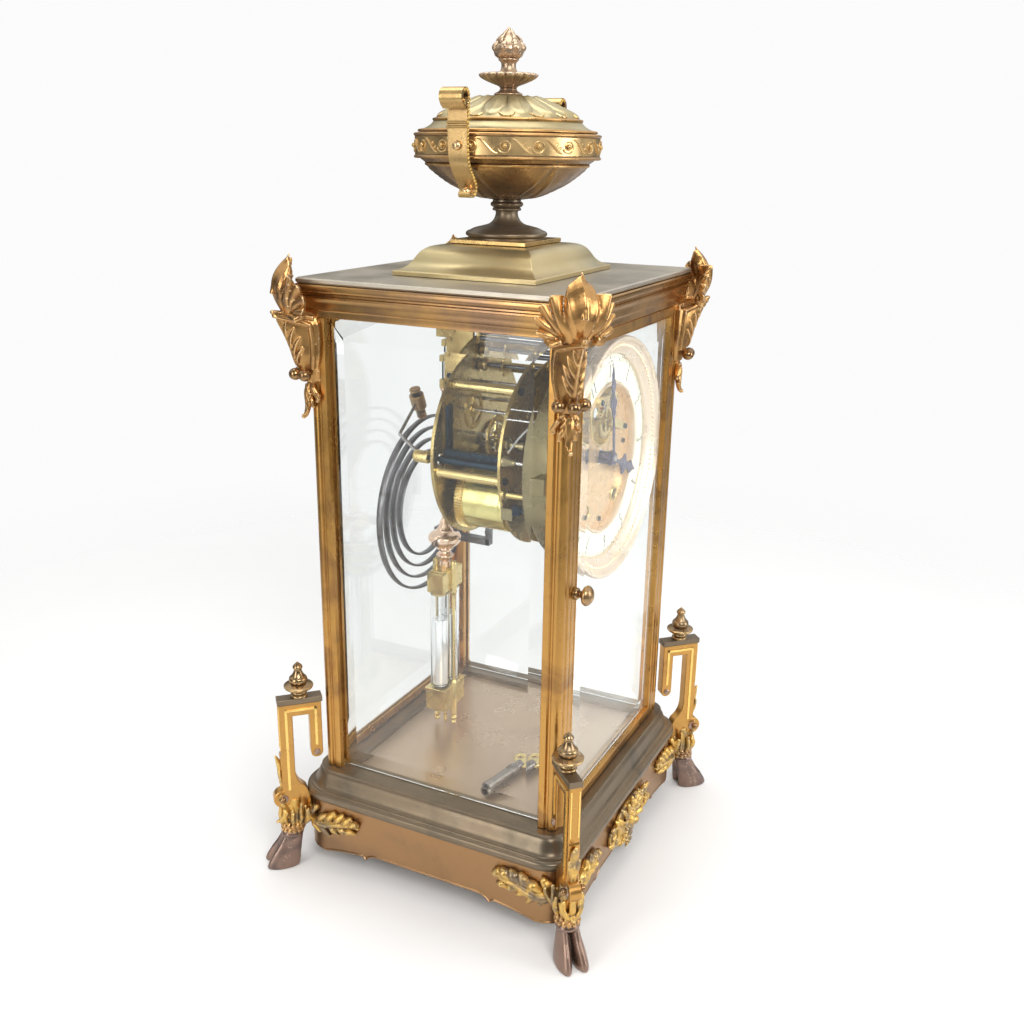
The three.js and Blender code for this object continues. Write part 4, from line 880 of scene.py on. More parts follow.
def handle(sx):
    """A strap with a rolled top, a stud, a collar and a curled foot, beaded along both edges."""
    spine = fair([(52.2, 394.6), (53.9, 396.0), (55.6, 398.2), (54.8, 400.8), (51.9, 401.9), (49.5, 400.1),
                  (48.8, 396.4),
                  (49.2, 388), (49.1, 380), (48.2, 372.4), (45.2, 367.2), (41.2, 362.6), (39.6, 359.2),
                  (40.6, 356.9),
                  (42.6, 357.0), (42.9, 358.6)], 5)
    path = np.column_stack([spine[:, 0], np.zeros(len(spine)), spine[:, 1]])
    share = np.linspace(0, 1, len(spine))
    width = np.interp(share, [0, 0.3, 0.42, 0.75, 1], [11.4, 11.4, 10.0, 9.0, 5.6])
    strap = ribbon(path, width, 2.0, (0, 1, 0))
    roll = turned_y(fair([(0, -5.9), (1.6, -5.9), (1.9, -5.5), (1.9, 5.5), (1.6, 5.9), (0, 5.9)], 2),
                    20).at(52.6, 0, 396.8)
    collar = total(tube([(50.4, y, z) for y in (-5.0, 5.0)], 1.0, 10, flat=0.7) for z in (386.4, 388.2))
    form = strap + roll + collar
    beads = []
    length = np.concatenate([[0], np.cumsum(np.linalg.norm(np.diff(path, axis=0), axis=1))])
    for d in np.arange(9.0, length[-1] - 3.0, 1.7):
        x, z = np.interp(d, length, path[:, 0]), np.interp(d, length, path[:, 2])
        half = np.interp(d, length, width) / 2
        beads += [ball((x, s * (half - 0.1), z), 0.78, segments=8) for s in (-1, 1)]
    curl = ball((41.6, 0, 358.3), 2.3, (1, 1.15, 1))
    return form.scaled(sx), total(beads).scaled(sx), (curl + ball((50.9, 0, 378.4), 2.1,
        (0.7, 1, 1))).scaled(sx)


for side, sx in (("left", -1), ("right", 1)):
    strap, beads, curl = handle(sx)
    piece(f"urn_handle_strap_{side}", strap, BROWN, replaces=f"urn_handle_{side}", slot="leaf_gilding",
          bevel=0.25)
    piece(f"urn_handle_beads_{side}", beads, INLAY, slot="leaf_gilding")
    piece(f"urn_handle_curl_{side}", curl, LEAF, slot="leaf_gilding")

# ------------------------------------------------------------------ corner ornament
DIAG = math.sqrt(0.5)


def to_corner(form, sx, sy):
    """From (outwards on the diagonal, sideways, height) at a corner of the posts to the row frame."""
    return form.basis((sx * DIAG, sy * DIAG, 0), (-sy * DIAG, sx * DIAG, 0), (0, 0, 1),
                      (sx * HALF_W, sy * HALF_D, 0))


def wrapped(a, d, z, offset=0.0, radius=4.0):
    """A point a along the wall from the corner's diagonal and d in front of it, for a wall that stands
    offset outside the posts and turns the corner with the given radius."""
    a, d, z = np.broadcast_arrays(np.asarray(a, float), d, z)
    quarter = radius * math.pi / 4
    held = np.clip(a, -quarter, quarter)
    turn = held / radius
    beyond = a - held
    out = (offset - radius) / DIAG + (radius + d) * np.cos(turn) - np.abs(beyond) * DIAG
    return np.stack([out, (radius + d) * np.sin(turn) + beyond * DIAG, z], -1)


def wall_finger(path, radii, offset, radius, flat=0.6, sides=8, steps=4):
    """A finger of ornament that lies on a wall round the corner, from (along, in front, height) points."""
    line = fair(path, steps)
    r = np.interp(np.linspace(0, 1, len(line)), np.linspace(0, 1, len(radii)), radii)
    return tube(wrapped(line[:, 0], line[:, 1], line[:, 2], offset, radius), r, sides, flat=flat,
                across=(0, 1, 0.3))


def leaf_fan():
    """The spreading top of the corner leaf: a ruffled shell of nine lobes whose pointed middle leans in
    over the top plate."""
    lobes, spread = 9, 82.0
    rows = []
    for degrees in np.linspace(-spread, spread, lobes * 10 + 1):
        place = (degrees + spread) / (2 * spread) * lobes
        swell = abs(math.sin(math.pi * place))
        middle = max(0.0, 1 - abs(degrees) / 17)
        rim = np.interp(abs(degrees), [0, 6, 12, 24, 40, 60, 82],
                        [27.8, 25.2, 22.2, 20.8, 19.6, 17.4, 12.0]) * (0.84 + 0.16 * swell**0.6)
        t = np.linspace(0.02, 1, 15)
        angle = np.radians(degrees) * (0.72 + 0.28 * t)
        along = rim * t * np.sin(angle) + math.copysign(2.2, degrees) * (1 - t) * min(1, abs(degrees) / 20)
        height = 300.4 + rim * t * np.cos(angle)
        dome = 4.6 + 6.2 * np.sin(math.pi * np.minimum(t * 0.74, 1)) - 2.0 * abs(degrees) / spread
        ruffle = (2.6 * (swell**0.7 - 0.6) + 0.7 * middle * np.cos(np.radians(degrees * 60))) * np.sqrt(t)
        curl = 2.4 * t**5 * (1 - middle) - 8.5 * t**3 * middle
        front = dome + ruffle + curl
        deep = 2.6 + 1.2 * (1 - t)
        face = wrapped(along, front, height, 4.8, 3.0)
        back = wrapped(along * 0.97, front - deep, height - 0.5 * t, 4.8, 3.0)[::-1]
        rows.append(np.vstack([face, back]))
    forms = [skin(rows)]
    crest = [(0, 10.2, 311), (0.1, 8.2, 318), (0.4, 4.4, 324), (0.8, 1.4, 329.6)]
    forms.append(wall_finger(crest, [1.6, 2.0, 1.6, 0.5], 4.8, 3.0, 0.7, 12))
    for sign in (1, -1):
        forms.append(wall_finger([(sign * 3.0, 7.0, 301.6), (sign * 7.4, 7.4, 300.4),
                                  (sign * 10.2, 6.0, 302.8), (sign * 9.0, 6.2, 305.6)],
                                 [2.0, 2.3, 2.1, 1.3], 4.8, 3.0, 0.8, 12))
    return total(forms)


def tongue_point(s, z):
    """On the convex shield under the fan: s runs from -1 to 1 across it."""
    s, z = np.broadcast_arrays(np.asarray(s, float), np.asarray(z, float))
    out = np.interp(z, [268, 276, 279.3, 286, 292, 298, 302.5], [2.0, 4.6, 6.0, 8.0, 10.4, 13.4, 15.4])
    half = np.interp(z, [268, 276, 282, 290, 297, 300, 302.5], [3.4, 5.6, 7.0, 7.6, 7.0, 5.6, 3.2])
    side = s * half
    return np.stack([out - (out + 0.6 * half) * np.abs(s) ** 1.9, side, z], -1)


def leaf_tongue():
    rows = []
    for z in np.linspace(269, 302.5, 26):
        front = tongue_point(np.linspace(-1, 1, 19), z)
        back = np.stack([np.full(5, -7.0), np.linspace(1, -1, 5) * 4, np.full(5, z)], -1)
        rows.append(np.vstack([front, back]))
    forms = [skin(rows)]
    t = np.linspace(-1, 1, 33)
    border_z = 300.8 - 25.5 * np.abs(t) ** 2.2
    border = tongue_point(np.sign(t) * np.minimum(np.abs(t) * 2.1, 0.9), border_z) + (0.7, 0, 0)
    forms.append(tube(border, 1.15, 8))
    lip = tongue_point(np.linspace(-1, 1, 17), 302.6 - 2.6 * np.linspace(-1, 1, 17) ** 2) + (0.9, 0, 0)
    forms.append(tube(lip, 1.0, 8))
    rib_z = np.linspace(277, 299, 12)
    forms.append(tube(tongue_point(rib_z * 0, rib_z) + (0.3, 0, 0), np.linspace(1.0, 0.5, 12), 8))
    for sign in (1, -1):
        for z0, z1, reach, r in [(276, 286, 0.66, 1.5), (280, 291, 0.66, 1.5), (285, 295.5, 0.6, 1.3),
                                 (290, 298.5, 0.45, 1.0)]:
            u = np.linspace(0, 1, 9)
            line = tongue_point(sign * reach * u**0.8, z0 + (z1 - z0) * u) + (0.25, 0, 0)
            forms.append(tube(line, r * np.sin(0.35 + 2.5 * u), 8, flat=0.6, across=(0, 0.6, 0.8)))
    return total(forms)


def leaf_drop():
    """The small leaf that hangs under the berries."""
    forms = [finger([(-2.5, 0, 269), (0.6, 0, 264), (1.0, 0, 257), (2.2, 0, 252.4), (3.6, 0, 251.2)],
                    [3.4, 2.8, 2.0, 1.5, 0.9], 0.8, (0, 1, 0))]
    for sign in (1, -1):
        forms.append(finger([(-1.5, 0, 269), (-1.2, sign * 4.0, 265.4), (-3.0, sign * 5.6, 261.6),
                             (-2.6, sign * 5.4, 259.4)],
                            [1.6, 2.1, 1.9, 1.4], 0.7, (0, 0.7, 0.7)))
        forms.append(finger([(0, 0, 264), (-0.4, sign * 3.0, 259.6), (-1.0, sign * 3.8, 256.2)],
                            [1.2, 1.7, 1.2], 0.7, (0, 0.7, 0.7)))
        for k in range(3):
            u = np.linspace(0, 1, 8)
            loop = np.stack([1.7 + 0.5 * np.sin(math.pi * u) - 0.8 * k * u,
                             sign * (0.5 + (1.3 + 1.1 * k) * u), 267.6 - (13 - 4.0 * k) * u], -1)
            forms.append(tube(loop, 0.36, 6))
    forms.append(ball((3.4, 0, 251.5), 1.2))
    return total(forms)


corner_leaf = leaf_fan() + leaf_tongue() + leaf_drop()
berry_places = ((6.6, 0, 272.6), (2.9, 5.9, 272.8), (2.9, -5.9, 272.8))
berries = total(ball(p, 3.15, (1, 1, 0.94), 24) for p in berry_places)
for side, sx, sy in CORNERS:
    piece(f"leaf_{side}", to_corner(corner_leaf, sx, sy), LEAF, replaces=f"corner_leaf_{side}",
          slot="leaf_gilding", cast=0.36)
    piece(f"leaf_berries_{side}", to_corner(berries, sx, sy), BERRY, slot="dark_bronze")

# ------------------------------------------------------------------ feet


def arc_points(cx, cy, r, a0, a1, count=12):
    turn = np.radians(np.linspace(a0, a1, count))
    return [(cx + r * math.cos(t), cy + r * math.sin(t)) for t in turn]


bracket = [*arc_points(4.8, 67, 3.2, 0, -180), (1.6, 97), (24, 97), (24, 67.5), (24.6, 66.6),
           *fair([(24.7, 66), (24.4, 58), (24.3, 46)], 4),
           *arc_points(24.0, 40.8, 5.2, 88, -80, 14), (24.2, 31), (22, 24), (14, 24), (10.5, 30), (9.4, 38),
           (10.4, 44),
           *fair([(11.4, 46.4), (14.6, 49.6), (16.4, 53.4), (17, 57)], 4), (17, 90), (8, 90)]


def diagonal(form):
    """A plate drawn as (outwards, height) stood in the diagonal plane, in corner coordinates."""
    return form.basis((1, 0, 0), (0, 0, 1), (0, -1, 0))


def inlay(loop, width, y):
    path = np.array([(t, y, z) for t, z in loop])
    return ribbon(path, 0.7, width, (0, 1, 0))


foot_frame = diagonal(plate([bracket], 6.0, 0.3))
inlays = total([inlay([(4.8, 71.5), (4.8, 94.2)], 1.3, y) + inlay([(4.15, 93.55), (21.1, 93.55)], 1.3, y)
                + inlay([(20.5, 94.2), (20.5, 46.0)], 1.3, y) for y in (-3.05, 3.05)])
edge_lines = total(ribbon(np.array([(24.05, s, 70), (24.05, s, 95)]), 0.6, 0.6, (0, 1, 0))
                   for s in (-2.1, 2.1))
bosses = total(spindle((t, -4.1, z), (t, 4.1, z),
                       [(0, 0), (r * 0.55, 0.1), (r * 0.9, 0.5), (r, 1.0), (r, 7.2), (r * 0.9, 7.7),
                                                  (r * 0.55, 8.1), (0, 8.2)], 20)
               for t, z, r in ((4.8, 67.0, 1.9), (24.0, 40.8, 2.7)))
slab = cuboid((0.9, -3.5, 97.0), (24.7, 3.5, 100.2))


def spur():
    """The leaf that springs off the outer leg, and the stems under it."""
    forms = [finger([(23.6, 0, 50), (24.6, 0, 57), (25.6, 0, 62.5), (27.0, 0, 66.6)], [1.6, 2.4, 2.0, 0.7],
                    0.7, (0, 1, 0))]
    for sign in (1, -1):
        forms.append(finger([(24.0, sign * 1.0, 48), (25.2, sign * 2.0, 54), (25.6, sign * 2.6, 58.6)],
                            [1.0, 1.3, 0.7], 0.8))
        forms.append(finger([(24.2, sign * 0.7, 44), (25.0, sign * 0.8, 50), (25.4, sign * 0.5, 56)],
                            [0.7, 0.7, 0.4], 1.0))
    return total(forms)


def foot_knot():
    """Leaves gathered round the top of the hoofed leg."""
    forms = [finger([(17, 0, 22), (18.6, 0, 30), (18.0, 0, 40)], [5.0, 5.6, 4.0], 0.9, (0, 1, 0), 14)]
    for k in range(9):
        turn = math.radians(-160 + 40 * k)
        out = np.array([math.cos(turn), math.sin(turn)])
        base = np.array([18.8, 0])
        lift = 36 + 3.0 * math.cos(3 * turn)
        pts = [(*(base + out * 4.4), 24.0), (*(base + out * 6.6), 29.5), (*(base + out * 6.6), 34),
               (*(base + out * 7.6), lift)]
        forms.append(finger(pts, [1.2, 2.0, 1.8, 1.0], 0.7))
    for sign in (1, -1):
        forms.append(finger([(22, sign * 2.4, 35), (24.6, sign * 3.4, 38), (25.6, sign * 2.4, 42),
                             (24.6, sign * 1.6, 45.4)],
                            [1.2, 1.7, 1.5, 0.9], 0.8))
        forms.append(finger([(24, sign * 1.2, 23), (25.6, sign * 3.0, 27), (24.6, sign * 5.0, 31),
                             (22.6, sign * 5.6, 34)],
                            [1.0, 1.5, 1.5, 0.9], 0.8))
        forms.append(finger([(13, sign * 3, 24), (11.8, sign * 6, 28), (11.4, sign * 8.6, 33),
                             (12.4, sign * 9.4, 36.6)],
                            [1.4, 2.2, 1.9, 1.2], 0.7))
    forms.append(finger([(21, 0, 27), (25, 0, 26.4), (28.4, 0, 25.4)], [2.4, 1.9, 0.7], 0.75, (0, 1, 0)))
    return total(forms)


def fur():
    forms = []
    for row, (z, count, r) in enumerate(((24.6, 13, 5.1), (22.0, 14, 5.4))):
        for k in range(count):
            turn = (k + row / 2) * TAU / count
            out = np.array([math.cos(turn), math.sin(turn)])
            pts = [(*(np.array([19.2, 0]) + out * (r - 0.6)), z + 1.4),
                   (*(np.array([19.4, 0]) + out * (r + 0.5)), z - 0.6),
                   (*(np.array([19.7, 0]) + out * (r - 0.2)), z - 3.0)]
            forms.append(finger(pts, [0.8, 1.25, 0.4], 0.8, sides=7, steps=3))
    return total(forms)


def foot_wing(sign):
    """A frilled leaf that lies along the plinth, ending in curled berries."""
    forms = []
    stem = [(3, 0.6, 27.5), (12, 1.4, 28), (21, 1.3, 30.2), (30, 1.0, 31.6), (35, 0.6, 30.6)]
    forms.append(wall_finger([(sign * a, d, z) for a, d, z in stem], [3.9, 4.1, 3.5, 2.7, 1.3], 10.5, 16.5,
                             0.6))
    tops = [(8, 37.0, 2.2), (14.5, 34.0, 1.9), (19.5, 36.4, 2.1), (25, 36.8, 1.9), (30, 36.2, 1.8),
            (34.5, 34.2, 1.6)]
    for a, z, r in tops:
        root = (sign * (a - 5.5), 1.2, 28.5 + 0.1 * a)
        forms.append(wall_finger([root, (sign * (a - 2), 2.1, (root[2] + z) / 2 + 0.6),
                                  (sign * a, 1.6, z - 0.6)],
                                 [1.9, 2.9, 2.1], 10.5, 16.5, 0.7))
        forms.append(ball(wrapped(sign * a, 1.5, z - 0.7, 10.5, 16.5), r * 0.86, segments=12))
    lows = [(10, 21.4), (16, 20.6), (22, 23.0), (28, 25.6), (33, 27.2)]
    for a, z in lows:
        forms.append(wall_finger([(sign * (a - 6.5), 1.0, 27.5), (sign * (a - 3), 2.0, (27.5 + z) / 2 + 1.0),
                                  (sign * a, 1.0, z)],
                                 [1.7, 2.7, 1.2], 10.5, 16.5, 0.7))
    return total(forms)


def hoof(side):
    """One toe of the cloven hoof. side is +1 or -1."""
    rows = []
    sections = [(23.6, 19.4, 4.9, 4.4, 0.2), (21, 19.6, 5.2, 4.9, 0.3), (17.5, 20.0, 5.5, 5.3, 0.45),
                (13, 21.6, 6.4, 5.9, 0.6),
                (8, 23.8, 7.9, 7.0, 0.8), (3.4, 25.4, 9.0, 7.8, 1.0), (1.0, 26.0, 9.2, 8.1, 1.1),
                (0.0, 26.0, 8.8, 7.7, 1.2)]
    for z, middle, length, width, gap in sections:
        ring = []
        for i in range(28):
            turn = i * TAU / 28
            x, y = math.cos(turn), math.sin(turn)
            front = max(x, 0) ** 3
            y2 = (y + 1) / 2
            point_y = gap * 0.5 + front * 0.6 * (z < 20) + y2 * (width - gap * 0.5) * (1 - 0.16 * front)
            ring.append((middle + length * x * (1 - 0.06 * (1 - y2)), side * point_y, z))
        rows.append(ring)
    return skin(rows)


toe = hoof(1) + hoof(-1)
cuff = lathe(fair([(0, 17.2), (4.8, 17.2), (5.9, 17.8), (6.2, 18.8), (5.8, 19.8), (5.0, 20.6), (0, 20.8)]),
             36).at(19.9, 0, 0)
finial_z = low("foot_finial_front_left")[2] + 0.0
finial = lathe(fair([(0, 0), (4.1, 0), (4.1, 0), (4.5, 0.5), (4.5, 1.1), (4.0, 1.6), (4.0, 1.6), (3.5, 1.9),
                     (3.5, 1.9),
                     (4.3, 2.5), (4.3, 3.3), (3.6, 3.8), (3.6, 3.8), (5.0, 4.3), (7.2, 5.2), (7.7, 6.0),
                     (7.5, 6.7), (5.6, 7.3),
                     (3.9, 7.9), (3.9, 7.9), (4.6, 8.6), (4.9, 9.8), (4.6, 11.0), (4.0, 11.6), (4.0, 11.6),
                     (3.6, 12.0), (2.7, 13.4),
                     (2.1, 15.0), (2.0, 15.8), (2.0, 15.8), (2.5, 16.3), (2.6, 17.1), (2.1, 18.0),
                     (1.1, 19.0), (0, 20.1)], 4), 48)
knot = foot_knot() + spur()
wings = foot_wing(1) + foot_wing(-1)
foot_berries = total(ball((24.8, s, 41.6), 1.9, segments=14) for s in (-5.0, 5.0))
for side, sx, sy in CORNERS:
    def put(name, form, look, slot, **extra):
        piece(f"foot_{name}_{side}", to_corner(form, sx, sy), look, slot=slot, **extra)
    put("bracket", foot_frame, GILT, "gilt_brass", replaces=f"foot_{side}", angle=30)
    put("slab", slab, BRONZE, "dark_bronze", bevel=0.35)
    put("inlay", inlays + edge_lines, INLAY, "leaf_gilding")
    put("bosses", bosses, COPPER, "dark_bronze", angle=30)
    put("leaves", knot + wings, MOUNT, "leaf_gilding", cast=0.34)
    put("fur", fur(), LEAF, "leaf_gilding", cast=0.3)
    put("berries", foot_berries, BERRY, "dark_bronze")
    put("hoof", toe + cuff, COPPER, "dark_bronze", cast=0.3)
    piece(f"finial_{side}", to_corner(finial.at(12.7, 0, finial_z), sx, sy), TURNED,
          replaces=f"foot_finial_{side}",
          slot="dark_bronze", angle=32)


def apron_swag():
    """A rosette with leaves rising over it, scrolls to each side and a drop below, for the plinth's front."""
    def flat_finger(path, radii, flat=0.7, sides=8):
        line = fair([(x, y, z) for x, z, y in path], 4)
        r = np.interp(np.linspace(0, 1, len(line)), np.linspace(0, 1, len(radii)), radii)
        return tube(line, r, sides, flat=flat, across=(0.7, 0, 0.7))
    forms = [ball((0, 2.2, 25), 3.2, (1, 0.8, 1), 16)]
    for k in range(8):
        turn = k * TAU / 8
        forms.append(flat_finger([(2 * math.cos(turn), 25 + 2 * math.sin(turn), 1.0),
                                  (4.6 * math.cos(turn), 25 + 4.6 * math.sin(turn), 2.2),
                                  (6.6 * math.cos(turn), 25 + 6.6 * math.sin(turn), 1.2)], [1.0, 1.7, 0.8]))
    for k in range(-3, 4):
        turn = math.radians(90 - 24 * k)
        reach = 13.5 - 0.9 * abs(k)
        forms.append(flat_finger([(5 * math.cos(turn), 25 + 5 * math.sin(turn), 1.0),
                                  (9.5 * math.cos(turn) + 0.8 * k * 0.5, 25 + 9.5 * math.sin(turn), 3.0),
                                  (reach * math.cos(turn), 25 + reach * math.sin(turn), 2.4)],
                                  [1.2, 1.9, 1.1]))
        forms.append(ball((reach * math.cos(turn), 2.7, 25 + reach * math.sin(turn)), 1.25, segments=10))
    for sign in (1, -1):
        t = np.linspace(0, 1, 22)
        turn = math.pi * (0.55 + 1.9 * t)
        r = 6.2 * (1 - 0.62 * t)
        scroll = np.stack([sign * (22.5 + r * np.cos(turn)), 1.6 + 0.8 * t, 26 + r * np.sin(turn)], -1)
        forms.append(tube(scroll, 1.5 - 0.5 * t, 8))
        forms.append(ball((sign * 22.8, 2.4, 25.4), 1.7, segments=12))
        for a, z, x2, z2 in ((12, 27, 17, 34), (15, 22, 19.5, 18.5), (25, 22, 30.0, 24.6),
                             (10, 20, 12.5, 14.5), (24, 31, 27.5, 33),
                             (19, 31, 21.5, 35.6), (8, 31, 12.6, 37.4)):
            forms.append(flat_finger([(sign * (a - 3), z - 1, 0.8),
                                      (sign * (a + x2) / 2, (z + z2) / 2 + 0.8, 2.4), (sign * x2, z2, 1.2)],
                                     [1.4, 1.9, 0.7]))
    for k, z in enumerate((17.6, 13.8, 10.4)):
        forms.append(ball((0, 1.8, z), 2.4 - 0.5 * k, (1, 0.8, 1.1), 12))
        for sign in (1, -1):
            forms.append(flat_finger([(0, z + 2, 1.0), (sign * (4.4 - k), z + 0.6, 2.0),
                                      (sign * (5.2 - 1.2 * k), z - 2, 1.0)], [0.9, 1.4, 0.6]))
    backing = plate([np.array(fair([(0, 8.6), (6.4, 13), (12, 16), (20, 19.4), (28, 23), (27, 30.6),
                                    (20, 32.6), (12, 36.4), (0, 37.6),
                                    (-12, 36.4), (-20, 32.6), (-27, 30.6), (-28, 23), (-20, 19.4), (-12, 16),
                                    (-6.4, 13), (0, 8.6)], 3))[:-1]],
                    1.6, 0.3).basis((1, 0, 0), (0, 0, 1), (0, -1, 0), (0, 0.8, 0))
    return total(forms) + backing


front_face = -(HALF_D + 10.5)
piece("apron_swag", apron_swag().scaled(1, -1, 1).at(0, front_face - 0.2, 0), MOUNT,
      replaces="apron_mount_front",
      slot="leaf_gilding", cast=0.3)

# ------------------------------------------------------------------ doors and glass
DOOR_LOW, DOOR_HIGH = low("front_door_frame"), high("front_door_frame")
door_z0, door_z1, door_x = DOOR_LOW[2] + 2.6, DOOR_HIGH[2] - 2.6, DOOR_HIGH[0]
KNOB = AXES["front_knob"]


def rectangle(x, z0, z1):
    return [(-x, z0), (x, z0), (x, z1), (-x, z1)]


def door_form():
    sash = plate_y([rectangle(door_x, door_z0, door_z1), rectangle(door_x - 5, door_z0 + 5.4, door_z1 - 5.4)],
                   -HALF_D, -HALF_D + 4.5, 0.35)
    pins = total(rod((door_x - 1, -HALF_D + 1, z - 3.3), (door_x - 1, -HALF_D + 1, z + 3.3),
                     0.9) for z in (door_z0 + 0.7, door_z1 - 0.7))
    corners = [(-(door_x - 4.6), door_z0 + 5.0), (door_x - 4.6, door_z0 + 5.0), (door_x - 4.6, door_z1 - 5.0),
               (-(door_x - 4.6), door_z1 - 5.0)]
    beads = total(rod((*a[:1], -HALF_D + 0.2, a[1]), (*b[:1], -HALF_D + 0.2, b[1]), 0.55, 10) for a,
                  b in zip(corners, corners[1:] + corners[:1]))
    return sash + pins + beads


def knob_form(x, z):
    return turned_y(fair([(0, -78.6), (1.6, -78.4), (3.4, -77.6), (4.6, -76.3), (4.9, -75.1), (4.2, -74.0),
                          (2.8, -73.3), (1.9, -72.7),
                          (1.7, -71.7), (1.7, -71.7), (2.7, -70.9), (3.0, -70.0), (3.0, -69.1), (3.0, -69.1),
                          (0, -69.1)], 4), 36).at(x, 0, z)


piece("front_door_sash", door_form(), GILT, body="front_door", replaces="front_door_frame", slot="gilt_brass",
      angle=30)
catch_y = high("front_door_knob")[1]
piece("front_door_latch", knob_form(KNOB[0], KNOB[2]) + rod((KNOB[0], -70, KNOB[2]),
    (KNOB[0], catch_y, KNOB[2]), 1.4)
      + cuboid((KNOB[0] - 1.3, catch_y - 1.6, KNOB[2] - 1.3), (KNOB[0] + 1.3, catch_y - 0.3, KNOB[2] + 5.3)),
      BROWN, body="front_knob",
      replaces="front_door_knob", slot="olive_brass", angle=32)
turned_round = (door_form() + knob_form(KNOB[0], KNOB[2]) + rod((KNOB[0], -70, KNOB[2]),
    (KNOB[0], -HALF_D + 1, KNOB[2]), 1.4)).spun(180)
piece("back_door_sash", turned_round, GILT, body="back_door", replaces="back_door_frame", slot="gilt_brass",
      angle=30)
for pane, look in (("front_door_glass", DOOR_PANE), ("back_door_glass", PANE), ("glass_left", PANE),
                   ("glass_right", PANE)):
    keep_node(pane, look)

# ------------------------------------------------------------------ dial
AXIS_Z = AXES["centre_arbor"][2]
RING_R = 51.0


def on_dial(form):
    return form.at(0, 0, AXIS_Z)


pan_form = turned_y(fair([(45.5, -40.2), (45.5, -40.2), (45.5, -38.7), (45.5, -38.7), (52.6, -38.7),
                          (52.6, -38.7), (53.2, -38.5), (55.6, -38.5),
                          (56, -38.9), (56, -38.9), (56, -54.2), (56, -54.2), (54.4, -54.2), (54.4, -54.2),
                          (54.4, -40.2), (54.4, -40.2),
                          (45.5, -40.2)], 3), 144)
bezel_form = turned_y(fair([
    (54.5, -53.6), (54.5, -53.6), (56.4, -53.6), (56.4, -53.6), (56.7, -54.2), (58.4, -57.0),
    (60.4, -59.6), (61.2, -61.4), (61.2, -63.0), (60.6, -63.7), (59.4, -63.8), (58.8, -63.2), (58.8, -63.2),
    (58.2, -62.3),
    (56.9, -61.4), (56.9, -61.4), (55.4, -60.6), (55.4, -60.6), (53.6, -59.4), (52.4, -58.9), (51.6, -58.7),
    (51.2, -58.1),
    (51.2, -58.1), (51.2, -55), (51.2, -55), (54.5, -53.6)], 4), 144)
reach = low("bezel")[0]
lugs = total(cuboid((x0, -53, -4), (x1, -46, 4)) for x0, x1 in ((reach, -55.4), (55.4, -reach)))
piece("dial_bezel", on_dial(bezel_form), PALE, replaces="bezel", slot="gilt_brass", angle=30)
piece("dial_pan", on_dial(pan_form), PAN, slot="gilt_brass", angle=30)
piece("dial_lugs", on_dial(lugs), PAN, slot="gilt_brass", bevel=0.4)
bead_row = total(ball((56.15 * math.cos(a), -61.25, 56.15 * math.sin(a)), 0.72,
                      segments=8) for a in np.arange(132) * TAU / 132)
piece("dial_beads", on_dial(bead_row), PALE, slot="gilt_brass")
chapter = turned_y(fair([(RING_R, -56.5), (RING_R, -56.5), (RING_R, -57.2), (50.7, -57.45), (50.7, -57.45),
                         (48, -57.56), (45, -57.6),
                         (41.6, -57.56), (39.2, -57.45), (39.2, -57.45), (38.8, -57.2), (38.8, -56.5),
                         (38.8, -56.5), (RING_R, -56.5)], 3), 144)
piece("dial_ring", on_dial(chapter), ENAMEL, replaces="chapter_ring", slot="cream_enamel", angle=30)
inner_ring = turned_y(fair([(38.6, -53.2), (38.6, -53.2), (38.6, -57.6), (38.3, -58.2), (37.7, -58.3),
                            (37.2, -57.8), (36.9, -56.8),
                            (36.9, -56.8), (36.9, -53.2), (36.9, -53.2), (38.6, -53.2)], 4), 120)
piece("dial_inner_bead", on_dial(inner_ring), PALE, slot="gilt_brass", angle=30)

# Figures as strokes in a box one unit high: straight runs and arcs, drawn for this dial.


def arc(cx, cy, rx, ry, a0, a1, count=14):
    t = np.radians(np.linspace(a0, a1, count))
    return np.stack([cx + rx * np.cos(t), cy + ry * np.sin(t)], 1)


DIGITS = {
    "0": [(arc(0.28, 0.5, 0.24, 0.46, 90, 450, 26), 1.0)],
    "1": [(np.array([(0.28, 0.02), (0.28, 0.98)]), 1.3), (np.array([(0.28, 0.98), (0.1, 0.82)]), 0.6),
          (np.array([(0.12, 0.02), (0.44, 0.02)]), 0.6)],
    "2": [(np.vstack([arc(0.28, 0.72, 0.22, 0.24, 170, -35), [(0.1, 0.08)]]), 0.9),
          (np.array([(0.06, 0.04), (0.52, 0.04)]), 1.3)],
    "3": [(arc(0.26, 0.74, 0.2, 0.22, 160, -90), 0.9), (arc(0.26, 0.27, 0.24, 0.25, 90, -160), 1.1)],
    "4": [(np.array([(0.4, 0.98), (0.04, 0.3), (0.54, 0.3)]), 0.7),
          (np.array([(0.4, 0.98), (0.4, 0.02)]), 1.3)],
    "5": [(np.array([(0.48, 0.94), (0.12, 0.94), (0.1, 0.56)]), 0.8),
          (arc(0.26, 0.32, 0.24, 0.29, 110, -155), 1.1)],
    "6": [(np.vstack([arc(0.42, 0.6, 0.36, 0.38, 80, 180), arc(0.28, 0.29, 0.22, 0.26, 180, 540, 24)]), 1.0)],
    "7": [(np.array([(0.06, 0.94), (0.5, 0.94)]), 1.2), (np.array([(0.5, 0.94), (0.2, 0.02)]), 0.9)],
    "8": [(arc(0.28, 0.75, 0.19, 0.21, 90, 450, 22), 0.9), (arc(0.28, 0.28, 0.23, 0.26, 90, 450, 22), 1.1)],
    "9": [(np.vstack([arc(0.14, 0.4, 0.36, 0.38, -100, 0), arc(0.28, 0.71, 0.22, 0.26, 0, 360, 24)]), 1.0)],
}


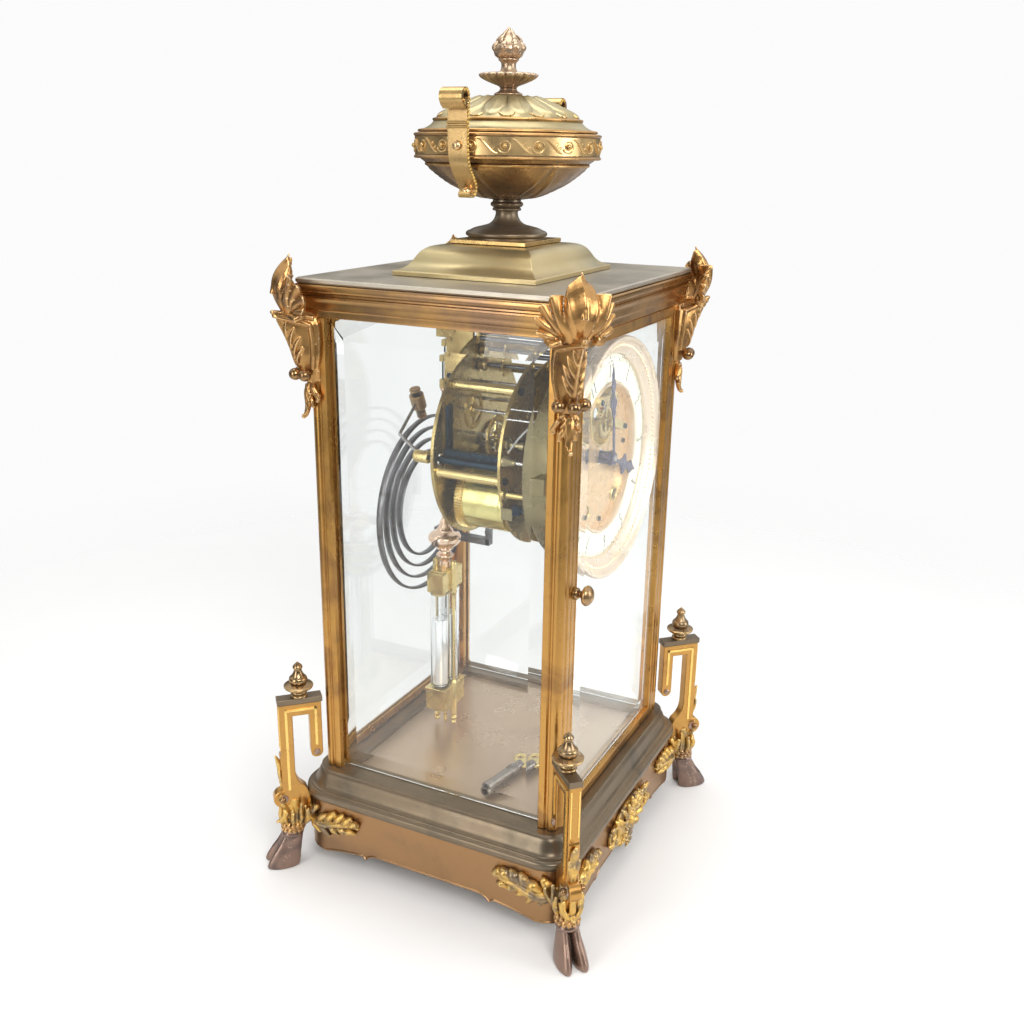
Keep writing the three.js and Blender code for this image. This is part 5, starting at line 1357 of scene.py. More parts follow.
def numerals():
    forms = []
    face = -57.66
    for hour in range(1, 13):
        text = str(hour)
        around = math.radians(90 - 30 * hour)
        up = np.array([math.cos(around), math.sin(around)])
        right = np.array([up[1], -up[0]])
        size, gap = 6.6, 3.5
        for k, digit in enumerate(text):
            shift = (k - (len(text) - 1) / 2) * gap - 0.28 * size * 0.62
            for path, weight in DIGITS[digit]:
                pts = [up * (41.4 + size * y) + right * (shift + size * 0.62 * x) for x, y in path]
                line = np.array([(p[0], face, p[1]) for p in pts])
                forms.append(ribbon(line, 0.14, 0.42 * weight + 0.2, (0, 1, 0)))
    for minute in range(60):
        angle = minute * TAU / 60
        direction = np.array([math.cos(angle), math.sin(angle)])
        big = minute % 5 == 0
        a, b = direction * 49.0, direction * (50.0 if not big else 50.4)
        forms.append(ribbon(np.array([(a[0], face + 0.08, a[1]), (b[0], face + 0.08, b[1])]), 0.1,
                            0.62 if big else 0.26, (0, 1, 0)))
    for r in (48.9, 50.2):
        t = np.linspace(0, TAU, 121)
        forms.append(ribbon(np.stack([r * np.cos(t), np.full(121, face + 0.1), r * np.sin(t)], 1), 0.1, 0.14,
                            (0, 1, 0)))
    return total(forms)


piece("dial_numerals", on_dial(numerals()), INK, slot="blued_steel")

DIAL_HOLES = [(0, 0, 4.2), (0, 22, 15.4), (18.7, -24.5, 3.4), (-18.7, -24.5, 3.4)]
centre_plate = plate_y([circle(0, 0, 38.4, 120), *[circle(x, z, r, 48) for x, z, r in DIAL_HOLES]], -54, -53,
                       0.15)
piece("dial_plate", on_dial(centre_plate), COPPERY, replaces="dial_centre", slot="olive_brass", angle=30)
collets = total(turned_y(fair([(r, -54.05), (r + 0.9, -54.05), (r + 0.9, -54.5), (r + 0.4, -54.9), (r, -54.6),
                               (r, -54.05)], 3), 40).at(x, 0, z)
                for x, z, r in DIAL_HOLES[2:])
recess = turned_y(fair([(15.4, -54.1), (16.5, -54.1), (16.5, -54.1), (16.3, -54.6), (15.7, -54.7),
                        (15.3, -54.4), (15.3, -54.4), (15.3, -50.2),
                        (15.3, -50.2), (3.0, -50.2), (3.0, -50.2), (3.0, -49.6), (3.0, -49.6), (15.9, -49.6),
                        (15.9, -49.6), (15.9, -53.0),
                        (15.9, -53.0), (15.4, -54.1)], 2), 72).at(0, 0, 22)
piece("dial_trim", on_dial(collets + recess), BRASS, slot="olive_brass", angle=30)


def screw(x, y, z, r=1.5, out=-1, turn=0.4, height=0.8):
    """A slotted screw head on a plane at y, facing out along -Y or +Y."""
    head = plate([circle(0, 0, r, 28)], height, 0.18)
    slot_form = cuboid((-r * 0.92, -0.16, height / 2 - 0.06),
                       (r * 0.92, 0.16, height / 2 + 0.03)).spun(math.degrees(turn))
    return ((head + slot_form).basis((1, 0, 0), (0, 0, 1), (0, out, 0), (x, y + out * height / 2, z)))


def cock(x0, z0, x1, z1, y, width):
    """A flat bridge between two feet, with rounded ends, in front of the dial's middle."""
    a, b = np.array([x0, z0]), np.array([x1, z1])
    along = (b - a) / np.linalg.norm(b - a)
    angle = math.atan2(along[1], along[0])
    ends = [*circle(*b, width, 14, angle - math.pi / 2, angle + math.pi / 2),
            *circle(*a, width, 14, angle + math.pi / 2, angle + 3 * math.pi / 2)]
    return plate_y([np.array(ends)], y, y + 1.2, 0.25)


cock_forms = [cock(-17.8, 32, 0, 32, -60.4, 2.3), cock(0, 19, 17.8, 13.0, -59.4, 2.2)]
posts = [rod((-17.8, -54, 32), (-17.8, -59.4, 32), 2.2, 24),
         rod((17.8, -54, 13.0), (17.8, -58.4, 13.0), 2.1, 24)]
piece("escapement_cocks", on_dial(total(cock_forms + posts)), BRASS, slot="polished_brass", angle=30)
cock_screws = screw(-17.8, -60.4, 32, 1.5) + screw(17.8, -59.4, 13.0, 1.4, turn=1.2) + \
    screw(0, -54.0, -33, 1.3, turn=0.9) + screw(-30, -54.0, 6, 1.3) + screw(30, -54.0, 2, 1.3, turn=2.0)
piece("escapement_screws", on_dial(cock_screws), BLUED, slot="blued_steel", angle=30)

# ------------------------------------------------------------------ hands


def hand(half, y0, y1, degrees, crown):
    side = fair(half, 3)
    loop = np.vstack([side, side[::-1] * (-1, 1)])
    keep = [0]
    for i in range(1, len(loop)):
        if np.linalg.norm(loop[i] - loop[keep[-1]]) > 0.02:
            keep.append(i)
    body = plate_y([loop[keep]], y0, y1, 0.1)
    boss = turned_y([(crown[0], y0 - crown[1]), (crown[2], y0 - crown[1]), (crown[2] + 0.3, y0),
                     (crown[2] + 0.3, y1), (crown[0], y1),
                     (crown[0], y0 - crown[1])], 40)
    return body.spun(degrees, "Y") + boss


hour_form = hand([(0.0, 3.0), (1.3, 3.0), (1.3, 3.0), (1.1, 9), (1.0, 14), (1.0, 14), (2.4, 15.4),
                  (2.2, 17.4), (3.4, 17.8), (5.2, 19.2), (5.4, 20.0),
                  (5.2, 20.8), (3.4, 22.2), (2.2, 22.6), (2.4, 24.6), (1.0, 26.0), (1.0, 26.0), (2.6, 28.2),
                  (3.6, 30.0), (2.6, 32.2), (1.0, 35.2),
                  (0.15, 38)], -59.6, -58.8, 112, (2.35, 0.35, 3.6))
pipe = turned_y([(3.35, -59.6), (3.35, -26), (2.35, -26), (2.35, -59.6), (3.35, -59.6)], 32)
piece("hand_hour", on_dial(hour_form + pipe), HAND, body="hour_pipe", replaces="hour_hand",
      slot="blued_steel", angle=30)
minute_form = hand([(0.0, 2.6), (1.2, 2.6), (1.2, 2.6), (1.0, 12), (0.9, 22), (0.9, 22), (2.2, 23.6),
                    (2.0, 26), (3.0, 27.2), (4.0, 29), (3.0, 30.8),
                    (2.0, 32), (1.0, 34), (1.0, 34), (1.9, 36.4), (2.5, 38.2), (1.6, 41), (0.8, 44.6),
                    (0.12, 48)], -61.2, -60.5, -7, (1.95, 0.3, 3.0))
piece("hand_minute", on_dial(minute_form), HAND, body="centre_arbor", replaces="minute_hand",
      slot="blued_steel", angle=30)

# ------------------------------------------------------------------ movement
PLATE_R = 49.0
FRONT_PLATE, BACK_PLATE = (-23.6, -21.8), (13.6, 15.4)
FRONT_END, BACK_END = -21.5, 13.3


def local(body):
    return AXES[body][0], AXES[body][2]


front_holes = [(*local("centre_arbor"), 4.0), (*local("escape_wheel"), 1.6), (*local("pallets"), 1.6),
               (*local("going_barrel"), 3.0), (*local("strike_barrel"), 3.0)]
front_feet = [polar((0, AXIS_Z), 46.8, a) for a in (345, 195, 105)]
plate_front = plate_y([circle(0, AXIS_Z, PLATE_R, 120), *[circle(x, z, r, 28) for x, z, r in front_holes]],
                      *FRONT_PLATE, 0.2)
feet_turned = total(spindle((x, FRONT_PLATE[0] + 0.2, z), (x, -38.3, z),
                            [(0, 0), (3.1, 0), (3.1, 1.2), (2.6, 1.8), (1.9, 2.4), (1.9, 12.0),
                                                                         (2.5, 12.6), (2.5, 14.2), (0, 14.4)],
                                                                         24) for x, z in front_feet)
piece("movement_front_plate", plate_front + feet_turned, PLATE_BRASS, replaces="front_plate",
      slot="polished_brass", angle=30)
back_holes = [(*local("pallets"), 1.6), (*local("hammer"), 2.8)]
PILLARS = (52, 128, 188, 270, 333)
plate_back = plate_y([circle(0, AXIS_Z, PLATE_R, 120), *[circle(x, z, r, 28) for x, z, r in back_holes]],
                     *BACK_PLATE, 0.2)
pillar_profile = [(0, 0), (2.9, 0), (2.9, 1.2), (2.6, 1.5), (2.6, 33.6), (2.9, 33.9), (2.9, 35.1), (0, 35.1)]
pillars = total(spindle((x, FRONT_PLATE[1] + 0.2, z), (x, BACK_PLATE[0] + 0.1, z), pillar_profile, 28)
                for x, z in (polar((0, AXIS_Z), 44.6, a) for a in PILLARS))
piece("movement_back_plate", plate_back, PLATE_BRASS, replaces="back_plate", slot="polished_brass", angle=30)
piece("movement_pillars", pillars, BRASS, slot="polished_brass", angle=30)

screws = []
for angle in PILLARS:
    x, z = polar((0, AXIS_Z), 44.6, angle)
    screws.append(screw(x, FRONT_PLATE[0], z, 1.9, -1, angle * 0.02, 1.0))
    screws.append(screw(x, BACK_PLATE[1], z, 1.9, 1, angle * 0.03, 1.0))
for angle, r, size in ((212, 41, 1.2), (300, 40, 1.2), (15, 38, 1.2), (95, 42, 1.2)):
    x, z = polar((0, AXIS_Z), r, angle)
    screws.append(screw(x, FRONT_PLATE[0], z, size, -1, angle * 0.05))
piece("movement_screws", total(screws), BLUED, slot="blued_steel", angle=30)


def boss(body, y, out, r=2.4, height=1.4):
    x, z = local(body)
    h = height
    return spindle((x, y, z), (x, y + out, z),
                   [(r * 0.45, -0.05), (r, -0.05), (r, h * 0.35), (r * 0.7, h * 0.6), (r * 0.62, h),
                    (r * 0.45, h), (r * 0.45, -0.05)], 24)


pivots = total([boss(b, BACK_PLATE[1], 1, r, h) for b, r,
                h in (("going_barrel", 3.4, 1.6), ("strike_barrel", 3.4, 1.6), ("third_wheel", 1.6, 0.7),
                                                               ("intermediate_wheel", 1.8, 0.7),
                                                               ("strike_second_wheel", 1.8, 0.7),
                                                               ("pin_wheel", 1.6, 0.7),
                                                               ("warning_wheel", 1.6, 0.7),
                                                               ("fly", 1.5, 0.7))]
               + [boss(b, FRONT_PLATE[0], -1, r, h) for b, r,
                  h in (("strike_second_wheel", 1.8, 0.8), ("pin_wheel", 1.6, 0.8),
                        ("warning_wheel", 1.6, 0.8),
                                                                   ("third_wheel", 1.6, 0.8))])
between = [spindle((x, FRONT_PLATE[0] + 0.1, z), (x, y, z), profile, 28) for x, z, y, profile in (
    (-42.0, 242.0, -36, [(0, 0), (3.2, 0), (3.2, 0.8), (2.6, 1.6), (1.7, 2.4), (1.5, 3.4), (1.5, 6.8),
                         (2.0, 7.0), (2.0, 9.6), (1.5, 9.9), (1.5, 11.4), (0, 11.6)]),
    (-45.2, 234.2, -33, [(0, 0), (3.4, 0), (3.4, 0.8), (3.0, 2.2), (1.9, 4.2), (1.8, 6.6), (0, 6.8)]))]
between.append(cuboid((-47.6, -29.6, 205.4), (-45.0, FRONT_PLATE[0], 211.4)))
piece("motion_work_bosses", total(between), PAN, slot="polished_brass", angle=32)
levers = [rod((-42.7, FRONT_PLATE[0], 254.6), (-42.7, -50, 254.6), 0.6, 12),
          rod((-38.4, FRONT_PLATE[0], 258.6), (-38.4, -50, 258.6), 0.6, 12),
          ribbon(np.array([(-44.6, -25.4, 238.5), (-42.6, -30, 245.5), (-41.2, -37, 253.6)]), 1.1, 0.6,
                 (0.3, -0.2, 0.9)),
          rod((-45.2, -30.2, 234.2), (-45.2, -35.4, 234.2), 1.1, 16)]
piece("strike_levers", total(levers), BRIGHT_STEEL, slot="grey_steel", angle=32)
lock_block = cuboid((-48.2, -33.6, 208.6), (-44.8, -29.8, 213.4)) + rod((-46.4, -33.2, 211.0),
    (-46.4, -35.8, 211.0), 1.0, 14)
piece("strike_detent", lock_block, BLUED, slot="blued_steel", bevel=0.2)
piece("movement_bushes", pivots, BRASS, slot="polished_brass", angle=30)


def tooth_loop(r, teeth, depth):
    """The outline of a wheel with rounded teeth whose tips lie at r."""
    pitch = TAU / teeth
    loop = []
    for k in range(teeth):
        base = k * pitch
        for share, rr in ((-0.33, r - depth), (-0.26, r - depth * 0.8), (-0.21, r - depth * 0.36), (-0.09, r),
                          (0.09, r),
                          (0.21, r - depth * 0.36), (0.26, r - depth * 0.8), (0.33, r - depth)):
            turn = base + share * pitch
            loop.append((rr * math.cos(turn), rr * math.sin(turn)))
    return np.array(loop)


def pinion(r, leaves, y0, y1):
    loop = []
    for k in range(leaves):
        base = k * TAU / leaves
        for share, rr in ((-0.34, 0.6), (-0.26, 0.94), (-0.1, 1.0), (0.1, 1.0), (0.26, 0.94), (0.34, 0.6)):
            turn = base + share * TAU / leaves
            loop.append((r * rr * math.cos(turn), r * rr * math.sin(turn)))
    return plate_y([np.array(loop)], y0, y1, 0.06)


def crossings(r, spokes, hub):
    holes = []
    outer = r - 2.7
    for k in range(spokes):
        a0, a1 = k * TAU / spokes, (k + 1) * TAU / spokes
        half = 0.62
        da_out, da_in = half / outer, half / (hub + 0.6)
        arc_out = circle(0, 0, outer, 16, a0 + da_out, a1 - da_out)
        arc_in = circle(0, 0, hub + 0.6, 6, a1 - da_in * 1.4, a0 + da_in * 1.4)
        holes.append(np.vstack([arc_out, arc_in]))
    return holes


def train_wheel(body, name, r, teeth, plane, leaves, pinion_r, arbor, shaft=0.8, spokes=4, hub=3.0,
                leaf_count=7):
    x, z = local(body)
    rim = plate_y([tooth_loop(r - 0.05, teeth, 1.0), *crossings(r, spokes, hub)], *plane, 0.08)
    collet = turned_y([(shaft, plane[0] - 0.9), (hub * 0.72, plane[0] - 0.9), (hub * 0.8, plane[0] - 0.2),
                       (hub * 0.8, plane[1] + 0.4),
                       (hub * 0.6, plane[1] + 0.9), (shaft, plane[1] + 0.9), (shaft, plane[0] - 0.9)], 24)
    piece(f"{name}_rim", (rim + collet).at(x, 0, z), BRASS, body=body, replaces=body, slot="polished_brass",
          angle=30)
    length = arbor[1] - arbor[0]
    steel = pinion(pinion_r - 0.05, leaf_count, *leaves) + spindle((0, arbor[0], 0), (0, arbor[1], 0), [
        (0, 0), (shaft * 0.45, 0.05), (shaft * 0.5, 1.0), (shaft, 1.2), (shaft, length - 1.2),
        (shaft * 0.5, length - 1.0),
        (shaft * 0.45, length - 0.05), (0, length)], 14)
    piece(f"{name}_arbor", steel.at(x, 0, z), BRIGHT_STEEL, body=body, slot="grey_steel", angle=30)


whole = (FRONT_END, BACK_END)
train_wheel("intermediate_wheel", "intermediate", 13, 60, (11.1, 12.3), (7.4, 11.0), 2.4, (6.9, BACK_END),
            leaf_count=12)
train_wheel("third_wheel", "third", 13, 86, (-6, -5), (-21, -19.2), 1.4, whole, 0.7)
train_wheel("strike_second_wheel", "strike_second", 12, 60, (-19, -18.1), (7.4, 10.2), 2.4, whole, 0.8,
            leaf_count=10)
train_wheel("pin_wheel", "strike_pin", 11, 60, (-6, -5), (-19.4, -17.8), 2.0, whole, 0.8, leaf_count=10)
train_wheel("warning_wheel", "warning", 10, 56, (6, 7), (-6.4, -4.4), 1.5, whole, 0.7, leaf_count=8)
pin_x, pin_z = local("pin_wheel")
lift_pins = total(rod((pin_x + 7.4 * math.cos(k * TAU / 10), -6.1, pin_z + 7.4 * math.sin(k * TAU / 10)),
                      (pin_x + 7.4 * math.cos(k * TAU / 10), -8.4, pin_z + 7.4 * math.sin(k * TAU / 10)),
                      0.45, 10) for k in range(10))
piece("strike_pins", lift_pins, BRIGHT_STEEL, body="pin_wheel", slot="grey_steel", angle=30)

cx, cz = local("centre_arbor")
centre_rim = plate_y([tooth_loop(16.95, 84, 1.0), *crossings(17, 4, 3.4)], -20.7, -19.7, 0.08) + \
    turned_y([(1.6, -19.8), (3.0, -19.8), (3.0, -18.6), (2.2, -18.0), (1.6, -18.0), (1.6, -19.8)], 24)
piece("centre_rim", centre_rim.at(cx, 0, cz), BRASS, body="centre_arbor", replaces="centre_wheel",
      slot="polished_brass", angle=30)
centre_steel = pinion(2.45, 12, 10.7, 12.7) + spindle((0, -62.4, 0), (0, BACK_END, 0), [
    (0, 0), (1.0, 0.1), (1.5, 0.6), (1.6, 1.2), (1.6, 74.6), (0.8, 74.8), (0.7, 75.7), (0, 75.7)], 20)
piece("centre_arbor_steel", centre_steel.at(cx, 0, cz), BRIGHT_STEEL, body="centre_arbor", slot="grey_steel",
      angle=30)


def barrel(body, name):
    x, z = local(body)
    drum = turned_y(fair([(2.3, -17.4), (2.3, -17.4), (14.8, -17.4), (14.8, -17.4), (15.6, -17.2),
                          (15.8, -16.6), (15.8, -16.6), (15.8, -15.4),
                          (15.8, -15.4), (15.65, -15.2), (15.8, -15.0), (15.8, -15.0), (15.8, 5.6),
                          (15.8, 5.6), (2.3, 5.6), (2.3, 5.6), (2.3, -17.4)], 2), 96)
    piece(f"{name}_drum", drum.at(x, 0, z), DRUM, body=body, replaces=body, slot="polished_brass", angle=30)
    rim = plate_y([tooth_loop(17.15, 70, 1.15), circle(0, 0, 2.3, 24)], 5.4, 10.0, 0.12)
    cap = turned_y(fair([(2.3, -17.5), (4.6, -17.5), (5.0, -18.0), (4.4, -18.8), (2.3, -18.8), (2.3, -17.5)],
                        3), 32)
    hook = rod((15.7, -9, 0), (16.4, -9, 0), 1.0, 14)
    piece(f"{name}_teeth", (rim + cap + hook).at(x, 0, z), BRASS, body=body, slot="polished_brass", angle=30)
    shaft = spindle((0, -46, 0), (0, BACK_END, 0),
                    [(0, 0), (2.2, 0), (2.2, 58.1), (1.2, 58.3), (1.1, 59.3), (0, 59.3)], 24) + \
        cuboid((-1.5, -52.4, -1.5), (1.5, -45.5, 1.5)).spun(12 if body == "going_barrel" else 33, "Y")
    piece(f"{name}_arbor", shaft.at(x, 0, z), BRIGHT_STEEL, body=body, slot="grey_steel", angle=30)


barrel("going_barrel", "going")
barrel("strike_barrel", "strike")

ex, ez = local("escape_wheel")
escape_loop = []
for k in range(30):
    base = k * TAU / 30
    for share, rr in ((0.0, 9.4), (0.1, 9.35), (0.34, 7.7), (0.5, 7.4), (0.8, 7.7)):
        turn = base + share * TAU / 30
        escape_loop.append((rr * math.cos(turn), rr * math.sin(turn)))
escape_rim = plate_y([np.array(escape_loop), *crossings(8.6, 4, 1.6)], -56, -55.2, 0.06) + \
    turned_y([(0.8, -56.5), (1.8, -56.5), (2.0, -56.0), (2.0, -55.0), (1.4, -54.6), (0.8, -54.6),
              (0.8, -56.5)], 20)
piece("escape_rim", escape_rim.at(ex, 0, ez), BRASS, body="escape_wheel", replaces="escape_wheel",
      slot="polished_brass", angle=30)
piece("escape_arbor", (pinion(1.05, 7, -7, -4) + rod((0, -57.4, 0), (0, -4, 0), 0.8, 14)).at(ex, 0, ez),
      BRIGHT_STEEL, body="escape_wheel",
      slot="grey_steel", angle=30)

fx, fz = local("fly")
blade = plate([[(-5.2, -14), (5.2, -14), (5.2, 1), (-5.2, 1)]], 0.5, 0.08)
clip = tube(fair([(-2.6, -10, 0.5), (0, -9.4, 1.2), (2.6, -10, 0.5)], 4), 0.28, 8)
piece("fly_blade", (blade + clip).at(fx, 0, fz), BRASS, body="fly", replaces="fly", slot="grey_steel",
      angle=30)
piece("fly_arbor", (pinion(1.15, 7, 5.6, 7.4) + rod((0, FRONT_END, 0), (0, BACK_END, 0), 0.7, 14))
      .at(fx, 0, fz), BRIGHT_STEEL, body="fly", slot="grey_steel", angle=30)

# Pallets, with round stones on the ends of the anchor, and the crutch behind the back plate.
px, pz = local("pallets")
anchor_loop = fair([(-8.4, -5.6), (-8.4, -4.6), (-5.0, -0.4), (-2.6, 2.0), (0, 2.6), (2.6, 2.0), (5.0, -0.4),
                    (8.4, -4.6), (8.4, -5.6),
                    (6.4, -5.8), (3.8, -2.6), (1.6, -1.6), (0, -1.5), (-1.6, -1.6), (-3.8, -2.6),
                    (-6.4, -5.8), (-8.4, -5.6)], 4)[:-1]
drop = 228 - pz
crutch = tube(fair([(0, 27.6, 1.4), (0, 27.6, -10), (0, 27.6, drop + 2)], 6), 0.95, 12) + \
    cuboid((-3.6, 26.8, drop - 1.4), (3.6, 28.4, drop + 0.2)) + \
    cuboid((-3.5, 28, drop - 1.3), (-2.1, 37.6, drop + 0.1)) + cuboid((2.1, 28, drop - 1.3),
        (3.5, 37.6, drop + 0.1)) + \
    rod((0, 26, 0), (0, 29.2, 0), 2.0, 20)
piece("pallet_anchor", (plate_y([anchor_loop], -58, -57.2, 0.15) + rod((0, -57.9, 0), (0, 29.4, 0), 0.85,
    14) + crutch).at(px, 0, pz),
      BRIGHT_STEEL, body="pallets", replaces="pallets", slot="grey_steel", angle=30)
RUBY = painted("pallet_stone", rgb(0.45, 0.03, 0.05), rgb(0.3, 0.01, 0.04), 80.0, (0.08, 0.16), 0.02, 0.6)
stones = total(rod((s * 7.2, -57.5, -4.8), (s * 7.2, -55, -4.8), 0.8, 16) for s in (-1, 1))
piece("pallet_stones", stones.at(px, 0, pz), RUBY, body="pallets", angle=30)

# Suspension bracket behind the back plate.
arm_loop = np.array([(15.7, 266), (20, 266), (20, 262.4), (20.4, 262), (31.1, 262), (31.5, 262.4),
                     (31.5, 276.4), (37.8, 276.4), (37.8, 283), (15.7, 283)])
bracket_plate = plate([arm_loop, circle(27.6, 280, 1.1, 20), circle(29.2, 275.8, 1.1, 20),
                       circle(28.4, 264.4, 1.1, 20)], 2.0, 0.2).basis(
    (0, 1, 0), (0, 0, 1), (1, 0, 0), (-5.6, 0, 0))
flange = plate([[(-6.2, 264.6), (6, 264.6), (6, 276), (-6.2, 276)]], 1.7, 0.25).basis((1, 0, 0), (0, 0, 1),
    (0, -1, 0), (0, 16.55, 0))
piece("suspension_arm", bracket_plate + flange + cuboid((-5, 33.3, 276.5), (3.4, 37.7, 282)), BRASS,
      replaces="suspension_bracket",
      slot="polished_brass", angle=30)


def side_screw(y, z, r):
    return screw(0, 0, 0, r, 1, 0.6).basis((0, 1, 0), (-1, 0, 0), (0, 0, 1), (-6.5, y, z))


piece("suspension_screws", side_screw(28.4, 264.4, 1.5) + screw(-4.2, 17.4, 270.4, 1.2, 1)
      + screw(4.2, 17.4, 270.4, 1.2, 1, 1.0) + screw(0, 37.7, 279.4, 1.5, 1, 0.2), BLUED,
      slot="blued_steel", angle=30)
piece("suspension_studs", side_screw(27.6, 280, 1.3) + side_screw(29.2, 275.8, 1.2), BRASS,
      slot="polished_brass", angle=30)

# The rate regulator over the movement: a square-ended arbor from the dial, a bevelled hub and its disc,
# and two stay rods.
regulator = rod((0, -56.2, 271.0), (0, 32.0, 271.0), 1.0, 14)
hub = turned_y(fair([(0, 8.6), (2.6, 8.6), (2.6, 8.6), (3.4, 9.6), (3.4, 11.6), (2.6, 12.6), (2.6, 12.6),
                     (4.2, 13.0), (4.2, 13.0), (0, 13.0)], 3), 28)
stays = rod((-3.6, 13.4, 277.2), (-3.6, -52.6, 277.2), 1.2, 14) + rod((-3.6, 13.4, 280.2),
    (-3.6, -52.6, 280.2), 1.2, 14)
disc_form = turned_y([(1.2, -2.2), (5.4, -2.2), (5.4, -1.2), (1.2, -1.2), (1.2, -2.2)], 40, lambda a, r,
                     z: (r > 5) * 0.25 * np.sign(np.sin(a * 20)))
piece("regulator_rods", regulator + stays, STEEL, slot="grey_steel", angle=30)
piece("regulator_hub", hub.at(0, 0, 271.0) + disc_form.at(0, 0, 271.0) + cuboid((-5.4, 12.6, 274.6),
    (5.4, 14.6, 283.2)), BRASS,
      slot="polished_brass", bevel=0.15, angle=30)

# The blued lifting piece: an upright strip inside the back plate that joins a bar over the hammer's arbor.
blued = cuboid((-40.6, 9.4, 230.5), (-36.2, 11.6, 257.0)) + cuboid((-42.6, -21.6, 231.9),
    (-38.4, 11.5, 235.0))
piece("strike_springs", blued, BLUED, slot="blued_steel", bevel=0.4)

# ------------------------------------------------------------------ pendulum, hanging behind the movement
PEND_Y = AXES["pendulum"][1]
BOTTOM = low("pendulum_frame")[2]


def hung(form):
    return form.at(0, PEND_Y, 0)


stem = lathe(fair([
    (0, 154), (3.0, 154), (3.0, 154), (3.0, 157.6), (3.0, 157.6), (2.6, 158), (3.6, 159), (4.8, 160.6),
    (4.6, 161.6), (3.6, 162.5), (3.1, 163.4),
    (3.2, 164), (4.6, 164.8), (4.7, 165.5), (4.2, 166.4), (4.2, 166.4), (6.2, 166.9), (8.0, 168.2),
    (9.1, 170.2), (9.1, 172.2), (7.9, 173.9),
    (5.6, 174.8), (5.6, 174.8), (4.7, 175.2), (4.6, 176.0), (3.9, 176.8), (3.9, 176.8), (3.3, 177.8),
    (2.9, 179.4), (2.3, 181.2), (1.6, 182.6),
    (1.4, 184), (1.4, 184), (1.4, 228), (1.4, 228), (1.4, 254.2), (1.4, 254.2), (2.0, 254.7), (2.0, 255.8),
    (1.4, 256.3), (0, 256.4)], 4), 40)
piece("pendulum_stem", hung(stem), ROSE, body="pendulum", replaces="pendulum_frame", slot="polished_brass",
      angle=32)


def side_column(side):
    return lathe(fair([
        (0, 56), (0.8, 56.2), (1.6, 57.0), (1.5, 57.9), (1.0, 58.5), (1.2, 59.0), (1.9, 60.0), (1.8, 60.9),
        (1.2, 61.5), (1.2, 62.1),
        (1.8, 63.0), (1.9, 63.6), (1.9, 63.6), (1.9, 83.2), (1.9, 83.2), (1.5, 84.0), (1.05, 84.8), (1.0, 86),
        (1.0, 86), (1.0, 137), (1.0, 137),
        (1.1, 138), (1.8, 139.0), (1.9, 140), (1.9, 140), (1.9, 156.4), (1.9, 156.4), (1.6, 157.6),
        (1.0, 158.3), (0, 158.6)], 3), 24
    ).at(0, side * 5.6, 0)


cap_block = plate([[(-11, -5), (11, -5), (11, 5), (-11, 5)]], 12, 0.5).at(0, 0, 147) + \
    plate([[(-9.6, -4.2), (9.6, -4.2), (9.6, 4.2), (-9.6, 4.2)]], 1.2, 0.3).at(0, 0, 153.3)
cap_rings = total(lathe([(5.3, 139.6), (5.9, 139.6), (5.9, 141.2), (5.3, 141.2), (5.3, 139.6)], 32)
                  .scaled(1, 0.8, 1).at(x, 0, 0) for x in (-5.05, 5.05))
cup_outline = fair([(-12.2, 70.6), (-12.2, 70.6), (-11.4, 68.8), (-9.6, 68.1), (-9.6, 68.1), (9.6, 68.1),
                    (9.6, 68.1), (11.4, 68.8), (12.2, 70.6),
                    (12.2, 70.6), (12.2, 82), (12.2, 82), (-12.2, 82), (-12.2, 82), (-12.2, 70.6)], 4)[:-1]


def cup():
    shell = plate_y([cup_outline], -6.4, 6.4, 0.5)
    lip = plate([[(-12.4, -6.6), (12.4, -6.6), (12.4, 6.6), (-12.4, 6.6)], circle(-5.7, 0, 5.42, 32),
                 circle(5.7, 0, 5.42, 32)], 1.0, 0.2).at(0, 0, 82.0)
    return shell, lip


cup_shell, cup_lip = cup()
tip = lathe(fair([(0, BOTTOM), (0.5, BOTTOM + 0.5), (0.9, BOTTOM + 2), (0.9, BOTTOM + 2), (0.9, 62.5),
                  (0.9, 62.5), (1.7, 63.2), (1.7, 64.2), (1.2, 65),
                  (1.6, 65.8), (2.4, 66.8), (2.4, 69), (2.4, 69), (0, 69)], 3), 24)
piece("pendulum_frame_top", hung(cap_block + cap_rings), BRASS, body="pendulum", slot="polished_brass",
      angle=30)
piece("pendulum_frame_cup", hung(cup_shell.scaled(0.985, 0.97, 1.0)), BRASS, body="pendulum",
      slot="polished_brass", angle=30)
piece("pendulum_columns", hung(side_column(-1) + side_column(1) + tip), BRASS, body="pendulum",
      slot="polished_brass", angle=32)
piece("pendulum_cup_lip", hung(cup_lip), BRASS, body="pendulum", slot="polished_brass", angle=30)
spring_strip = cuboid((-1.9, -0.12, 260.4), (-0.5, 0.12, 271)) + cuboid((0.5, -0.12, 260.4), (1.9, 0.12, 271))
clamps = plate([[(-2.8, -1.2), (2.8, -1.2), (2.8, 1.2), (-2.8, 1.2)]], 5, 0.2).at(0, 0, 258.5) + \
    plate([[(-2.8, -1.2), (2.8, -1.2), (2.8, 1.2), (-2.8, 1.2)]], 3.5, 0.2).at(0, 0, 272.1)
clamp_screws = screw(0, -1.2, 258.6, 0.8, -1, 0.3, 0.3) + screw(0, 1.2, 258.6, 0.8, 1, 0.3, 0.3) + screw(0,
    -1.2, 272.2, 0.8, -1, 1.1, 0.3)
piece("pendulum_clamps", hung(clamps), BRASS, body="pendulum", slot="polished_brass", angle=30)
piece("pendulum_spring", hung(spring_strip + clamp_screws), BLUED, body="pendulum", slot="blued_steel",
      bevel=0.03)

